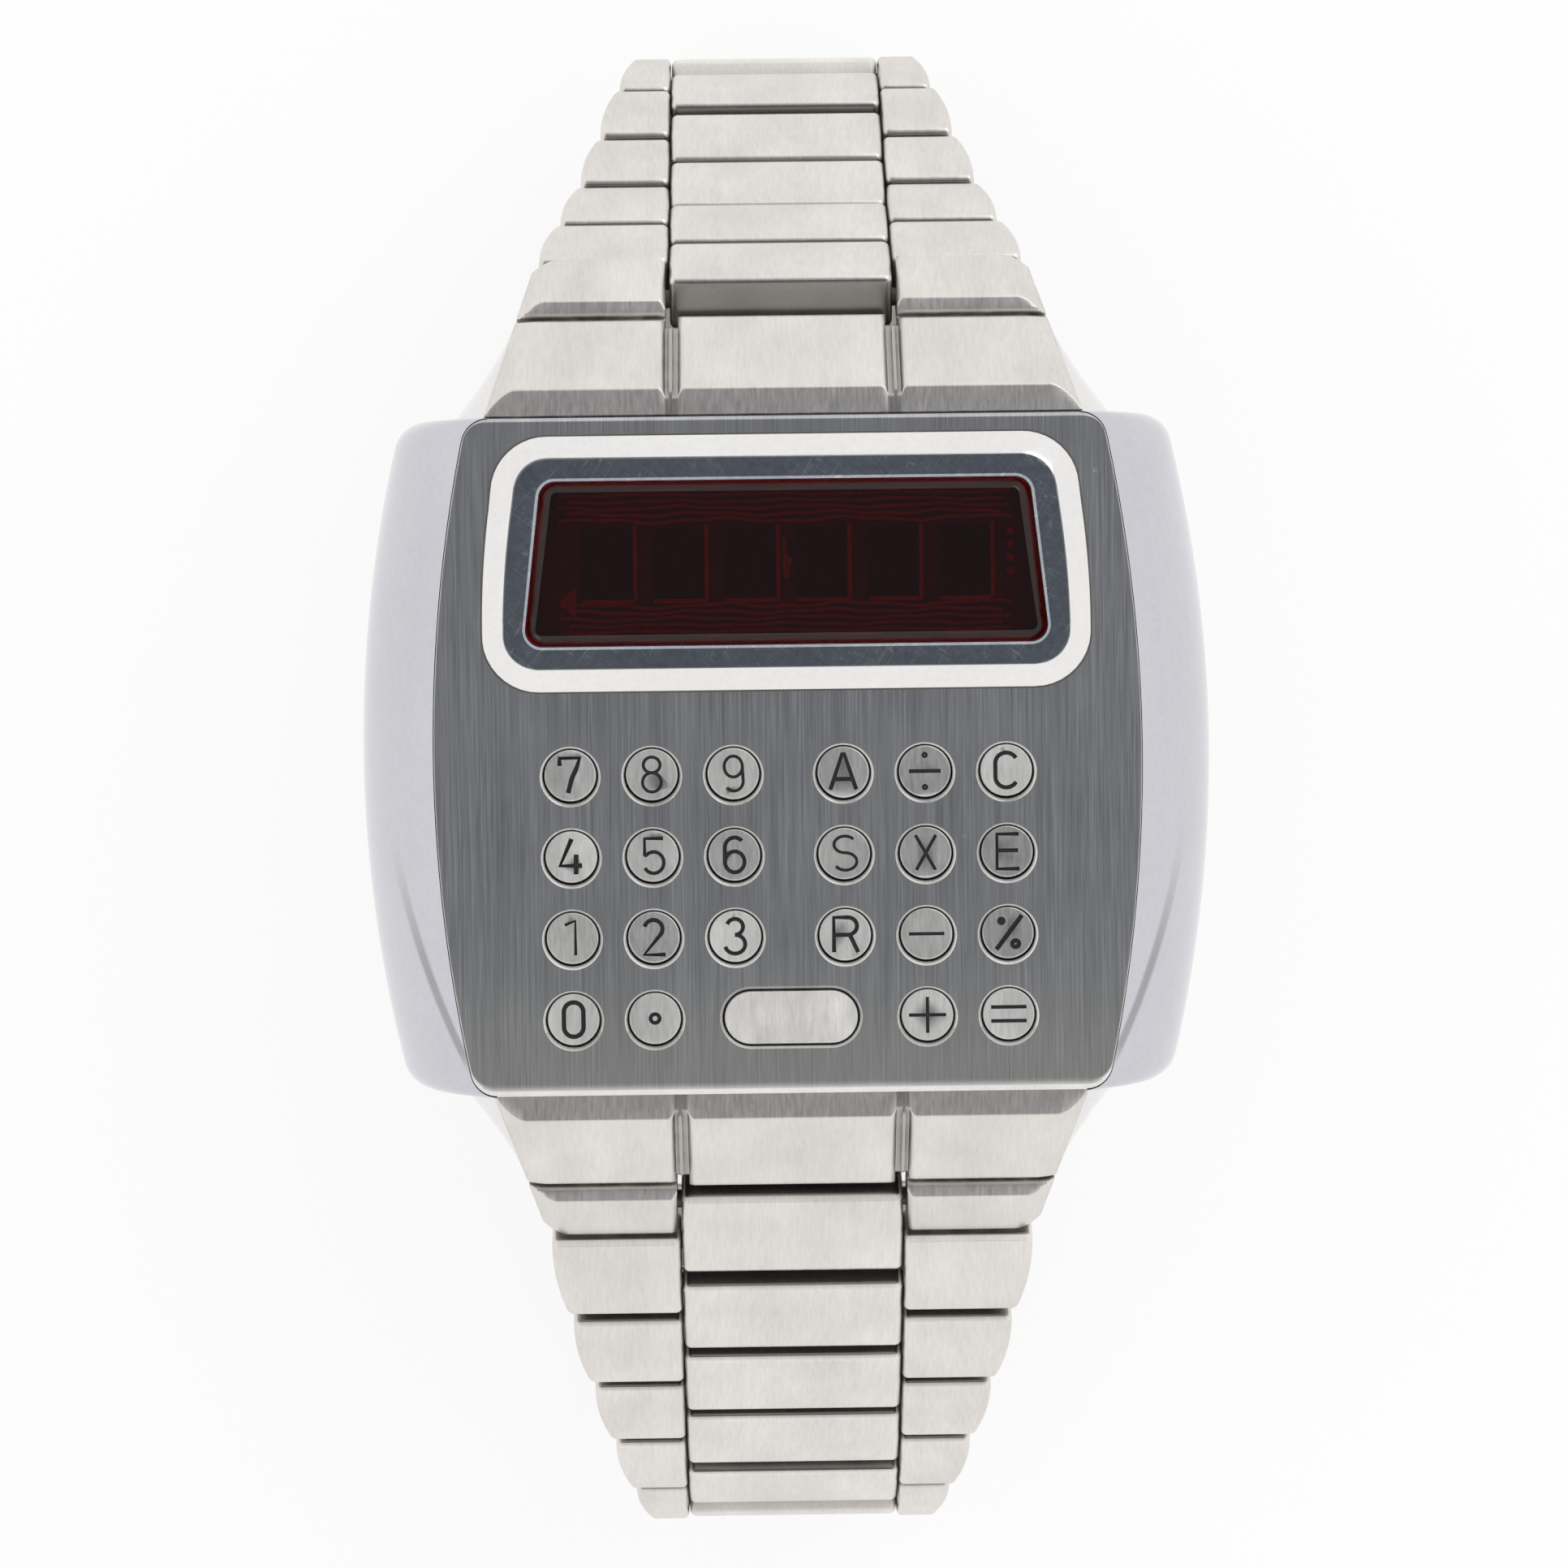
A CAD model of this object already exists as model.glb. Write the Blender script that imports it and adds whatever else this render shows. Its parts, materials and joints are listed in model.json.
"""A digital calculator wristwatch on a pale studio floor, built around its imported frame."""

import json
import math

import bmesh
import bpy
from bpy.props import FloatProperty, FloatVectorProperty, PointerProperty
from mathutils import Matrix, Vector

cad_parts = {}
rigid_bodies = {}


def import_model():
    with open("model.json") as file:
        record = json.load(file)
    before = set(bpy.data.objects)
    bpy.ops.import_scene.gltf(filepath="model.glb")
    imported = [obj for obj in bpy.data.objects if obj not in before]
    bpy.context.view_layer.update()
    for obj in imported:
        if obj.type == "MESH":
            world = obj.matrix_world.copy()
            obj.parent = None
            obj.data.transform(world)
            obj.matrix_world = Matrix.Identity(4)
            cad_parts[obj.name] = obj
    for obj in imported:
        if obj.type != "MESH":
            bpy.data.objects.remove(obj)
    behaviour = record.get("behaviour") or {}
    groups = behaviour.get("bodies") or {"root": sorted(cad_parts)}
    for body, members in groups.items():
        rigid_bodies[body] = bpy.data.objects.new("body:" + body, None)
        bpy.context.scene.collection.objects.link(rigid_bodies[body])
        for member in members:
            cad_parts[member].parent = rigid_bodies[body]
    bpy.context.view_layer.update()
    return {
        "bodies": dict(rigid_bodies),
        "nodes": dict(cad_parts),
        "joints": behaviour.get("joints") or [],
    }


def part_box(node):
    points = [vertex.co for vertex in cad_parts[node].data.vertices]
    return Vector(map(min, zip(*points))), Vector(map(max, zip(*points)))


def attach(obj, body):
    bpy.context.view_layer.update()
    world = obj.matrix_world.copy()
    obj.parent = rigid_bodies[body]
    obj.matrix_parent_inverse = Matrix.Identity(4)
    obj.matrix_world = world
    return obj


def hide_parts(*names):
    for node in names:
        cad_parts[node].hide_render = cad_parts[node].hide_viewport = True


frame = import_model()

bl_info = {
    "name": "Calculator Wristwatch",
    "version": (1, 0, 0),
    "blender": (4, 5, 0),
    "location": "View3D > Sidebar > Watch",
    "description": "Builds a steel calculator wristwatch and its studio",
    "category": "Add Mesh",
}

MM = 0.001
CASE = "case"
ROWS = 10
OPEN_ROWS = 5  # rows on each side that show from the front
SEAT_GAP = 0.05 * MM  # gap between the face plate and the case beside it
GLASS_GAP = 0.05 * MM  # gap around the crystal
FRAME_GAP = 1.15 * MM  # how far the window frame's tube stands off the crystal
FRAME_HOLE_R = 1.9 * MM  # corner radius of the hole for that tube
KEY_SHIFT = 0.03 * MM  # how far the key tops sit above the middle of their solids
HOLE_SHIFT = 0.05 * MM  # how far the chamfers of the key holes sit below the middle of the holes
FLAT_CURVE = 10  # side radius in metres of an outline with straight sides
END_LEAN = 0.287  # how fast each side of an end link leans inwards on its way from the case
DULL = 0.85  # how dull the links are that face the floor
HIDDEN_CURVE = 0.25 * MM  # how far the side links behind the watch narrow

# Places that come from the frame
PLATE_LOW, PLATE_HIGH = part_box("face_plate")
SHELL_LOW, SHELL_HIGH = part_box("case_body")
WINDOW_LOW, WINDOW_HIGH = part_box("window_frame")
CRYSTAL_LOW, CRYSTAL_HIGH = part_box("crystal")
BOARD_LOW, BOARD_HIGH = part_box("display_board")
_, COVER_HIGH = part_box("clasp_cover")
DIAL = PLATE_HIGH.z
JOINTS = {joint["child"]: joint for joint in frame["joints"]}

# What each round key says, by the name of its node
ROUND_KEYS = {
    "key_7": "7", "key_8": "8", "key_9": "9", "key_a": "A", "key_divide": "÷", "key_c": "C",
    "key_4": "4", "key_5": "5", "key_6": "6", "key_s": "S", "key_multiply": "X", "key_e": "E",
    "key_1": "1", "key_2": "2", "key_3": "3", "key_r": "R", "key_minus": "-", "key_percent": "%",
    "key_0": "0", "key_point": ".", "key_plus": "+", "key_equals": "=",
}


# Settings

def length(label, words, millimetres):
    """A length that shows in the sidebar."""
    return FloatProperty(name=label, description=words, default=millimetres * MM, unit="LENGTH")


def colour(label, words, value):
    """A colour that shows in the sidebar."""
    return FloatVectorProperty(
        name=label, description=words, default=value, size=3, subtype="COLOR", min=0.0, max=1.0)


class WatchCaseSizes(bpy.types.PropertyGroup):
    """Sizes of the case, its face plate and its window"""
    flank_r: length("Flank rounding", "Radius of each flank from the dial to its widest point", 10)
    side_r: length("Side curve", "Radius of the case's sides seen from the front", 70)
    plate_side_r: length("Plate side curve", "Radius of the face plate's sides seen from the front", 82)
    corner_r: length("Corner rounding", "Rounding of the case corners seen from the front", 1.8)
    under_r: length("Underside rounding", "Rounding of the end walls' lower edges", 2.5)
    plate_corner_r: length("Plate corners", "Corner radius of the face plate", 1.5)
    plate_rim: length("Plate rim", "Width of the rounded rim along the face plate's lower edge", 0.7)
    plate_drop: length("Plate rim drop", "How far the rim falls below the dial", 0.32)
    frame_r: length("Frame corners", "Outer corner radius of the window frame", 3)
    frame_bow: length("Frame bow", "How far the middle of the window frame's sides bows outwards", 0.13)
    taper: length("Window taper", "How much wider the window is at its lower edge", 2)
    frame_slope: length("Frame border", "Width of the window frame's sloping border", 1.2)
    crystal_r: length("Crystal corners", "Corner radius of the crystal", 0.9)
    crystal_slope: length("Crystal slope", "Width of the slope around the crystal's face", 0.55)


class WatchKeySizes(bpy.types.PropertyGroup):
    """Sizes of the keys and of their engraving"""
    flange: length("Flange", "Width of the retaining flange around a key", 0.35)
    flange_t: length("Flange thickness", "Thickness of the retaining flange", 0.45)
    edge: length("Key edge", "Width of the chamfer around a key's top", 0.13)
    gap: length("Gap", "Gap between a key's solid and its hole", 0.03)
    chamfer: length("Hole chamfer", "Width of the chamfer around each key hole", 0.14)
    play: length("Play", "How much smaller a key is than its solid", 0.05)
    letter_w: length("Letter width", "Width of an engraved character between its outer lines", 1.2)
    letter_h: length("Letter height", "Height of an engraved character between its outer lines", 1.84)
    stroke: length("Stroke", "Width of the engraved line", 0.185)


class WatchLinkSizes(bpy.types.PropertyGroup):
    """Sizes of the bracelet's links"""
    centre_w: length("Centre link width", "Width of the centre links", 12.1)
    gap: length("Row gap", "Gap between links that follow each other", 0.43)
    side_gap: length("Side gap", "Gap beside the centre links", 0.06)
    top: length("Outer face", "Height of a link's outer face above its pins", 1.8)
    low: length("Inner face", "Depth of a link's inner face under its pins", 1.4)
    edge: length("Edge rounding", "Rounding of a link's edges", 0.4)
    crown: length("Crown", "How far a link's outer face is domed", 0.1)
    pin_r: length("Pin radius", "Radius of the bracelet pins", 0.5)
    curve: length("Outer curve", "How far a side link's outer end narrows", 0.8)


class WatchFinishes(bpy.types.PropertyGroup):
    """Colours of the watch"""
    polished: colour("Polished steel", "Shoulders and window border", (0.82, 0.81, 0.80))
    flank: colour("Flank steel", "Polished flanks of the case", (0.61, 0.60, 0.64))
    plate: colour("Brushed plate", "Face plate", (0.50, 0.50, 0.505))
    satin: colour("Satin steel", "Bracelet and end links", (0.74, 0.71, 0.675))
    key: colour("Key steel", "Round keys", (0.62, 0.61, 0.59))
    edge: colour("Plate edges", "Chamfers and lower rim of the face plate", (0.78, 0.77, 0.75))
    ring: colour("Window ring", "Flat ring around the crystal", (0.36, 0.39, 0.44))
    crystal: colour("Crystal", "Filter glass", (0.42, 0.012, 0.014))
    paint: colour("Engraving", "Paint in the engraved characters", (0.012, 0.012, 0.013))
    floor: colour("Floor", "Studio floor", (0.9, 0.9, 0.9))


class WatchStage(bpy.types.PropertyGroup):
    """Camera and light"""
    distance: length("Distance", "Camera distance from the dial", 252.8)
    lens: FloatProperty(name="Lens", description="Focal length in millimetres", default=110.1)
    tilt: FloatProperty(name="Tilt", description="Lean of the camera towards 12 o'clock",
                        default=math.radians(2.35), subtype="ANGLE")
    roll: FloatProperty(name="Roll", description="Turn of the camera about its view",
                        default=math.radians(-0.72), subtype="ANGLE")
    yaw: FloatProperty(name="Yaw", description="How far the camera stands towards 9 o'clock",
                       default=math.radians(0.5), subtype="ANGLE")
    side: length("Side", "How far the camera's axis passes the dial's centre", 0.235)
    aim: length("Aim", "Where the camera's axis meets the dial, below its centre", 1.505)
    patch: FloatProperty(name="Dark patch", description="Half angle of the dark patch around the camera",
                         default=math.radians(36), subtype="ANGLE")
    lean: FloatProperty(name="Patch lean", description="Lean of the dark patch towards 12 o'clock",
                        default=math.radians(9), subtype="ANGLE")


# Node trees

class Web:
    """Adds nodes to a tree. An input's value is a socket, a number, a colour or a vector."""

    def __init__(self, tree):
        self.tree = tree

    def add(self, kind, values=None, **settings):
        """Adds a node with these settings and input values, named or numbered."""
        node = self.tree.nodes.new(kind)
        for name, value in settings.items():
            setattr(node, name, value)
        for name, value in (values or {}).items():
            self.feed(node.inputs[name], value)
        return node

    def feed(self, socket, value):
        """Joins a socket to another, or sets its own value."""
        if isinstance(value, bpy.types.NodeSocket):
            self.tree.links.new(value, socket)
        else:
            socket.default_value = value

    def maths(self, operation, first, second=0.0):
        """A number worked out from one or two others."""
        return self.add("ShaderNodeMath", {0: first, 1: second}, operation=operation).outputs[0]

    def plus(self, first, second):
        """The sum of two numbers."""
        return self.maths("ADD", first, second)

    def minus(self, first, second):
        """A number less another."""
        return self.maths("SUBTRACT", first, second)

    def times(self, first, second):
        """The product of two numbers."""
        return self.maths("MULTIPLY", first, second)

    def over(self, first, second):
        """A number divided by another."""
        return self.maths("DIVIDE", first, second)

    def vector(self, operation, first, second=(0.0, 0.0, 0.0)):
        """A vector worked out from one or two others."""
        return self.add("ShaderNodeVectorMath", {0: first, 1: second}, operation=operation).outputs[0]

    def dot(self, first, second):
        """How far two directions agree, from -1 to 1."""
        node = self.add("ShaderNodeVectorMath", {0: first, 1: second}, operation="DOT_PRODUCT")
        return node.outputs["Value"]

    def grow(self, vector, factor):
        """A vector times a number."""
        node = self.add("ShaderNodeVectorMath", {0: vector, "Scale": factor}, operation="SCALE")
        return node.outputs[0]

    def split(self, vector):
        """The three numbers of a vector."""
        return self.add("ShaderNodeSeparateXYZ", {0: vector}).outputs

    def join(self, x=0.0, y=0.0, z=0.0):
        """A vector from three numbers."""
        return self.add("ShaderNodeCombineXYZ", {0: x, 1: y, 2: z}).outputs[0]

    def fit(self, value, low, high, new_low=0.0, new_high=1.0, smooth=False):
        """A number moved from one range to another and kept inside it."""
        return self.add(
            "ShaderNodeMapRange", {0: value, 1: low, 2: high, 3: new_low, 4: new_high},
            interpolation_type="SMOOTHSTEP" if smooth else "LINEAR").outputs[0]

    def tint(self, share, first, second, blend="MIX"):
        """A colour between two others."""
        node = self.add(
            "ShaderNodeMix", {0: share, 6: first, 7: second}, data_type="RGBA", blend_type=blend)
        return node.outputs[2]

    def place(self):
        """The point on the piece, in the piece's own frame."""
        return self.add("ShaderNodeTexCoord").outputs["Object"]

    def own(self, name, output="Fac"):
        """A value that the piece stores under a name."""
        return self.add("ShaderNodeAttribute", attribute_name=name).outputs[output]

    def bumps(self, shader, height, strength):
        """Gives a shader fine bumps from a height."""
        node = self.add("ShaderNodeBump", {"Height": height, "Strength": strength, "Distance": 0.02 * MM})
        self.feed(shader.inputs["Normal"], node.outputs[0])

    def joined(self, *parts):
        """One geometry out of several."""
        node = self.add("GeometryNodeJoinGeometry")
        for part in parts:
            self.feed(node.inputs[0], part)
        return node.outputs[0]

    def noise(self, vector, scale=1.0, detail=2.0, roughness=0.5):
        """A noise value over a vector."""
        return self.add(
            "ShaderNodeTexNoise",
            {"Vector": vector, "Scale": scale, "Detail": detail, "Roughness": roughness}).outputs[0]


SOCKETS = {
    "number": "NodeSocketFloat",
    "vector": "NodeSocketVector",
    "colour": "NodeSocketColor",
    "geometry": "NodeSocketGeometry",
    "material": "NodeSocketMaterial",
}


def group(name, kind, inputs, outputs):
    """An empty node group with named sockets. Gives its web, its inputs and its outputs."""
    tree = bpy.data.node_groups.new(name, kind)
    for label, (socket_kind, value) in inputs.items():
        socket = tree.interface.new_socket(label, in_out="INPUT", socket_type=SOCKETS[socket_kind])
        if value is not None:
            socket.default_value = value
    for label, socket_kind in outputs.items():
        tree.interface.new_socket(label, in_out="OUTPUT", socket_type=SOCKETS[socket_kind])
    web = Web(tree)
    return web, web.add("NodeGroupInput").outputs, web.add("NodeGroupOutput").inputs


def rgba(value):
    """A colour with full alpha."""
    return (value[0], value[1], value[2], 1.0)


# Effects that several materials share

def brushed_grain():
    """Fine lines and broad bands that run along one axis of the stretched vector."""
    web, given, out = group(
        "Brushed grain", "ShaderNodeTree",
        {"Vector": ("vector", None), "Stretch": ("vector", (9000.0, 150.0, 9000.0)),
         "Bands": ("number", 0.07)},
        {"Lines": "number", "Bands": "number"})
    placed = web.vector("MULTIPLY", given["Vector"], given["Stretch"])
    web.feed(out["Lines"], web.noise(placed, 1.0, 3.0, 0.75))
    broad = web.grow(placed, given["Bands"])
    web.feed(out["Bands"], web.fit(web.noise(broad, 1.0, 2.0, 0.6), 0.3, 0.7))
    return web.tree


def fine_scratches():
    """Thin broken lines in two directions."""
    web, given, out = group(
        "Fine scratches", "ShaderNodeTree",
        {"Vector": ("vector", None), "Density": ("number", 0.5)},
        {"Mask": "number"})
    masks = []
    for turn, stretch in ((0.6, (2600.0, 160.0, 900.0)), (-0.9, (3100.0, 210.0, 900.0))):
        turned = web.add(
            "ShaderNodeVectorRotate", {"Vector": given["Vector"], "Axis": (0, 0, 1), "Angle": turn})
        value = web.noise(web.vector("MULTIPLY", turned.outputs[0], stretch), 1.0, 1.0, 0.5)
        near = web.maths("ABSOLUTE", web.minus(value, 0.5))
        masks.append(web.fit(near, 0.012, 0.0, smooth=True))
    breaks = web.noise(web.grow(given["Vector"], 700.0), 1.0, 2.0, 0.6)
    limit = web.minus(1.0, web.times(given["Density"], 0.6))
    kept = web.fit(breaks, web.minus(limit, 0.1), limit, smooth=True)
    both = web.maths("MAXIMUM", masks[0], masks[1])
    web.feed(out["Mask"], web.times(both, kept))
    return web.tree


def edge_wear():
    """A mask of the edges, broken up by noise."""
    web, given, out = group(
        "Edge wear", "ShaderNodeTree",
        {"Vector": ("vector", None), "Width": ("number", 0.12 * MM)},
        {"Mask": "number"})
    soft = web.add("ShaderNodeBevel", {"Radius": given["Width"]}, samples=4).outputs[0]
    sharp = web.add("ShaderNodeNewGeometry").outputs["Normal"]
    edge = web.fit(web.dot(soft, sharp), 0.995, 0.9)
    uneven = web.fit(web.noise(web.grow(given["Vector"], 1400.0), 1.0, 2.0), 0.3, 0.7, 0.5, 1.0)
    web.feed(out["Mask"], web.times(edge, uneven))
    return web.tree


def crevice_grime():
    """A mask of the narrow gaps where dirt stays."""
    web, given, out = group(
        "Crevice grime", "ShaderNodeTree",
        {"Vector": ("vector", None), "Reach": ("number", 0.6 * MM)},
        {"Mask": "number"})
    seen = web.add("ShaderNodeAmbientOcclusion", {"Distance": given["Reach"]}, samples=6).outputs["AO"]
    hidden = web.fit(seen, 0.75, 0.25, smooth=True)
    uneven = web.fit(web.noise(web.grow(given["Vector"], 900.0), 1.0, 3.0), 0.3, 0.65, 0.45, 1.0)
    web.feed(out["Mask"], web.times(hidden, uneven))
    return web.tree


def fine_dust():
    """A mask of scattered specks."""
    web, given, out = group(
        "Fine dust", "ShaderNodeTree",
        {"Vector": ("vector", None), "Scale": ("number", 3500.0), "Amount": ("number", 0.3)},
        {"Mask": "number"})
    value = web.noise(given["Vector"], given["Scale"], 2.0, 0.7)
    limit = web.minus(0.82, web.times(given["Amount"], 0.3))
    web.feed(out["Mask"], web.fit(value, limit, web.plus(limit, 0.06)))
    return web.tree


EFFECTS = {}


def effect(web, name, **values):
    """Places one of the shared effects in a material and gives its outputs."""
    makers = {
        "grain": brushed_grain, "scratches": fine_scratches, "wear": edge_wear,
        "grime": crevice_grime, "dust": fine_dust,
    }
    if name not in EFFECTS:
        EFFECTS[name] = makers[name]()
    node = web.add("ShaderNodeGroup", node_tree=EFFECTS[name])
    for label, value in values.items():
        web.feed(node.inputs[label.capitalize()], value)
    return node.outputs


# Materials

def blank_material(name):
    """A material with a Principled shader. Gives the material, its web and the shader."""
    material = bpy.data.materials.new(name)
    material.use_nodes = True
    web = Web(material.node_tree)
    return material, web, material.node_tree.nodes["Principled BSDF"]


def metal(name, base, roughness, stretch=(2500, 2500, 2500), grain=0.1, bands=0.05, bump=0.15,
          wear=0.3, scratches=0.3, grime=0.6, spread=0.0, spot=None, shine=0.0, matte=False):
    """Steel with grain, scratches, worn edges and dirt in its gaps. The grain follows the piece, or
    its own value that spot names. Shine lets a piece's own value lighten it, and matte lets another
    make it dull."""
    made, web, shader = blank_material(name)
    where = web.place()
    placed = web.own(spot, "Vector") if spot else where
    lines = effect(web, "grain", vector=placed, stretch=stretch)
    marks = effect(web, "scratches", vector=placed, density=scratches)["Mask"]
    dirt = effect(web, "grime", vector=where)["Mask"]
    edges = effect(web, "wear", vector=where)["Mask"]
    shade = web.plus(web.fit(lines["Lines"], 0.3, 0.7, 1 - grain, 1 + grain),
                     web.fit(lines["Bands"], 0, 1, -bands, bands))
    cloud = web.fit(web.noise(web.grow(where, 260.0), 1.0, 2.0), 0.3, 0.7, 1 - spread, 1 + spread)
    tone = web.times(shade, cloud)
    own = web.times(web.own("shine"), shine)
    tone = web.times(tone, web.plus(1.0, own))
    plain = web.tint(1.0, rgba(base), web.join(tone, tone, tone), "MULTIPLY")
    light = web.tint(web.times(edges, wear), plain, rgba([min(1, c * 1.25) for c in base]))
    marked = web.tint(web.times(marks, 0.35), light, (0.86, 0.87, 0.88, 1))
    dirty = web.tint(web.times(dirt, grime), marked, (0.055, 0.045, 0.035, 1))
    web.feed(shader.inputs["Base Color"], dirty)
    web.feed(shader.inputs["Metallic"], web.minus(1.0, web.own("matte")) if matte else 1.0)
    rough = web.fit(lines["Lines"], 0.3, 0.7, roughness * 0.85, roughness * 1.15)
    rough = web.plus(rough, web.plus(web.maths("MAXIMUM", own, 0.0), web.times(marks, 0.08)))
    web.feed(shader.inputs["Roughness"], web.plus(rough, web.times(dirt, 0.3)))
    web.bumps(shader, web.minus(lines["Lines"], web.times(marks, 0.6)), bump)
    return made


def plastic(name, base, roughness, speck=0.1, scale=2200.0, coat=0.0):
    """Moulded plastic, rubber, ceramic or paint with a fine uneven surface."""
    made, web, shader = blank_material(name)
    where = web.place()
    value = web.noise(where, scale, 3.0, 0.6)
    tone = web.fit(value, 0.3, 0.7, 1 - speck, 1 + speck)
    dust = effect(web, "dust", vector=where)["Mask"]
    plain = web.tint(1.0, rgba(base), web.join(tone, tone, tone), "MULTIPLY")
    web.feed(shader.inputs["Base Color"], web.tint(web.times(dust, 0.15), plain, (0.5, 0.48, 0.45, 1)))
    web.feed(shader.inputs["Roughness"], web.fit(value, 0.3, 0.7, roughness * 0.85, roughness * 1.15))
    web.bumps(shader, value, 0.2)
    shader.inputs["Coat Weight"].default_value = coat
    return made


def tinted(made, share_of, tint):
    """Mixes a tint into a finished metal. share_of gives its share at a place on the piece."""
    web = Web(made.node_tree)
    shader = made.node_tree.nodes["Principled BSDF"]
    share = share_of(web, web.split(web.place()))
    plain = shader.inputs["Base Color"].links[0].from_socket
    web.feed(shader.inputs["Base Color"], web.tint(share, plain, tint))
    return made


def plate_metal(name, base):
    """Brushed steel of the face plate, a little lighter and warmer along its lower edge."""
    made = metal(name, base, 0.36, stretch=(9000, 120, 900), grain=0.14, bands=0.1, bump=0.35,
                 scratches=0.25, grime=0.7, spread=0.05)

    def near_foot(web, place):
        """Grows towards the plate's lower edge."""
        return web.fit(place[1], -8.5 * MM, -17 * MM, 0.0, 0.4, smooth=True)

    return tinted(made, near_foot, (0.80, 0.77, 0.70, 1))


def polished_metal(name, base, roughness):
    """Polished steel with a few hairlines."""
    return metal(name, base, roughness, grain=0.03, bands=0.02, bump=0.03, scratches=0.35, grime=0.35,
                 wear=0.1)


def flank_metal(name, base):
    """Polished steel of the flanks. A thin dark line runs down beside the plate's lower half."""
    side_r = bpy.context.scene.watch_case.plate_side_r

    def near_line(web, place):
        """Strongest on a line that leans away from the plate's lower corner."""
        bulge = web.times(web.times(place[1], place[1]), 0.5 / side_r)
        beside = web.plus(web.minus(web.maths("ABSOLUTE", place[0]), PLATE_HIGH.x), bulge)
        above = web.plus(place[1], 16.3 * MM)
        rise = web.times(above, web.minus(0.30, web.times(above, 8.0)))
        away = web.maths("ABSOLUTE", web.minus(beside, rise))
        line = web.fit(away, 0.34 * MM, 0.12 * MM, smooth=True)
        fade = web.times(web.fit(place[1], -16.9 * MM, -15.6 * MM),
                         web.fit(place[1], -3.5 * MM, -12 * MM, smooth=True))
        return web.times(web.times(line, fade), 0.55)

    return tinted(polished_metal(name, base, 0.15), near_line, (0.19, 0.19, 0.2, 1))


def filter_glass(name, base):
    """Dark coloured glass with a few hairline scratches."""
    made, web, shader = blank_material(name)
    where = web.place()
    marks = effect(web, "scratches", vector=where, density=0.25)["Mask"]
    dust = effect(web, "dust", vector=where, amount=0.1)["Mask"]
    haze = web.plus(web.times(marks, 0.25), web.times(dust, 0.3))
    web.feed(shader.inputs["Base Color"], web.tint(haze, rgba(base), (0.6, 0.45, 0.42, 1)))
    web.feed(shader.inputs["Roughness"], web.plus(0.02, haze))
    shader.inputs["Transmission Weight"].default_value = 1.0
    shader.inputs["IOR"].default_value = 1.5
    return made


MATERIALS = {}


def material(name):
    """One of the watch's materials, made when it is first asked for."""
    tints = bpy.context.scene.watch_finishes
    satin = {"grain": 0.07, "bands": 0.03, "bump": 0.3, "scratches": 0.2, "grime": 0.75, "spread": 0.05,
             "shine": 1.0}
    makers = {
        "polished_steel": lambda n: polished_metal(n, tints.polished, 0.13),
        "flank_steel": lambda n: flank_metal(n, tints.flank),
        "window_ring": lambda n: metal(n, tints.ring, 0.2, grain=0.12, bump=0.1, scratches=0.8, grime=0.3),
        "brushed_plate": lambda n: plate_metal(n, tints.plate),
        "satin_steel": lambda n: metal(
            n, tints.satin, 0.34, stretch=(6500, 900, 3000), spot="grain", matte=True, **satin),
        "satin_end": lambda n: metal(n, tints.satin, 0.42, stretch=(6500, 900, 900), **satin),
        "key_steel": lambda n: metal(
            n, tints.key, 0.3, stretch=(5000, 700, 900), grain=0.08, bands=0.1, bump=0.2, scratches=0.4,
            grime=0.7, spread=0.08, shine=0.3),
        "back_steel": lambda n: metal(
            n, tints.satin, 0.28, stretch=(7000, 160, 7000), grain=0.08, bands=0.06, scratches=0.6),
        "cell_steel": lambda n: metal(n, tints.satin, 0.22, grain=0.04),
        "crystal_glass": lambda n: filter_glass(n, tints.crystal),
        "key_paint": lambda n: plastic(n, tints.paint, 0.55),
        "ceramic": lambda n: plastic(n, (0.10, 0.055, 0.05), 0.5, speck=0.25),
        "chip": lambda n: plastic(n, (0.03, 0.02, 0.02), 0.35, speck=0.6, scale=9000.0),
        "trace": lambda n: plastic(n, (0.5, 0.3, 0.2), 0.4, speck=0.3, scale=5000.0),
        "board_green": lambda n: plastic(n, (0.02, 0.12, 0.05), 0.4, coat=0.3),
        "mat_rubber": lambda n: plastic(n, (0.05, 0.055, 0.06), 0.75),
        "gasket_rubber": lambda n: plastic(n, (0.02, 0.02, 0.02), 0.7),
        "frame_plastic": lambda n: plastic(n, (0.03, 0.03, 0.032), 0.5),
        "joint_dirt": lambda n: plastic(n, (0.09, 0.08, 0.065), 0.7),
        "edge_steel": lambda n: metal(n, tints.edge, 0.25, grain=0.06, bump=0.1, scratches=0.4, grime=0.4),
    }
    if name not in MATERIALS:
        MATERIALS[name] = makers[name](name)
    return MATERIALS[name]


# Mesh helpers

def new_object(name, mesh, *materials):
    """An object with a finished mesh and its materials, in the scene."""
    for one in materials:
        mesh.materials.append(one)
    piece = bpy.data.objects.new(name, mesh)
    bpy.context.scene.collection.objects.link(piece)
    return piece


def mesh_of(points, faces, name="mesh"):
    """A clean mesh whose faces point outwards."""
    mesh = bpy.data.meshes.new(name)
    mesh.from_pydata([tuple(p) for p in points], [], faces)
    soup = bmesh.new()
    soup.from_mesh(mesh)
    bmesh.ops.remove_doubles(soup, verts=soup.verts, dist=1e-7)
    bmesh.ops.recalc_face_normals(soup, faces=soup.faces)
    soup.to_mesh(mesh)
    soup.free()
    return mesh


def smooth(mesh, angle=32):
    """Shades a mesh smooth up to an angle between faces."""
    mesh.shade_smooth()
    mesh.set_sharp_from_angle(angle=math.radians(angle))
    return mesh


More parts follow.
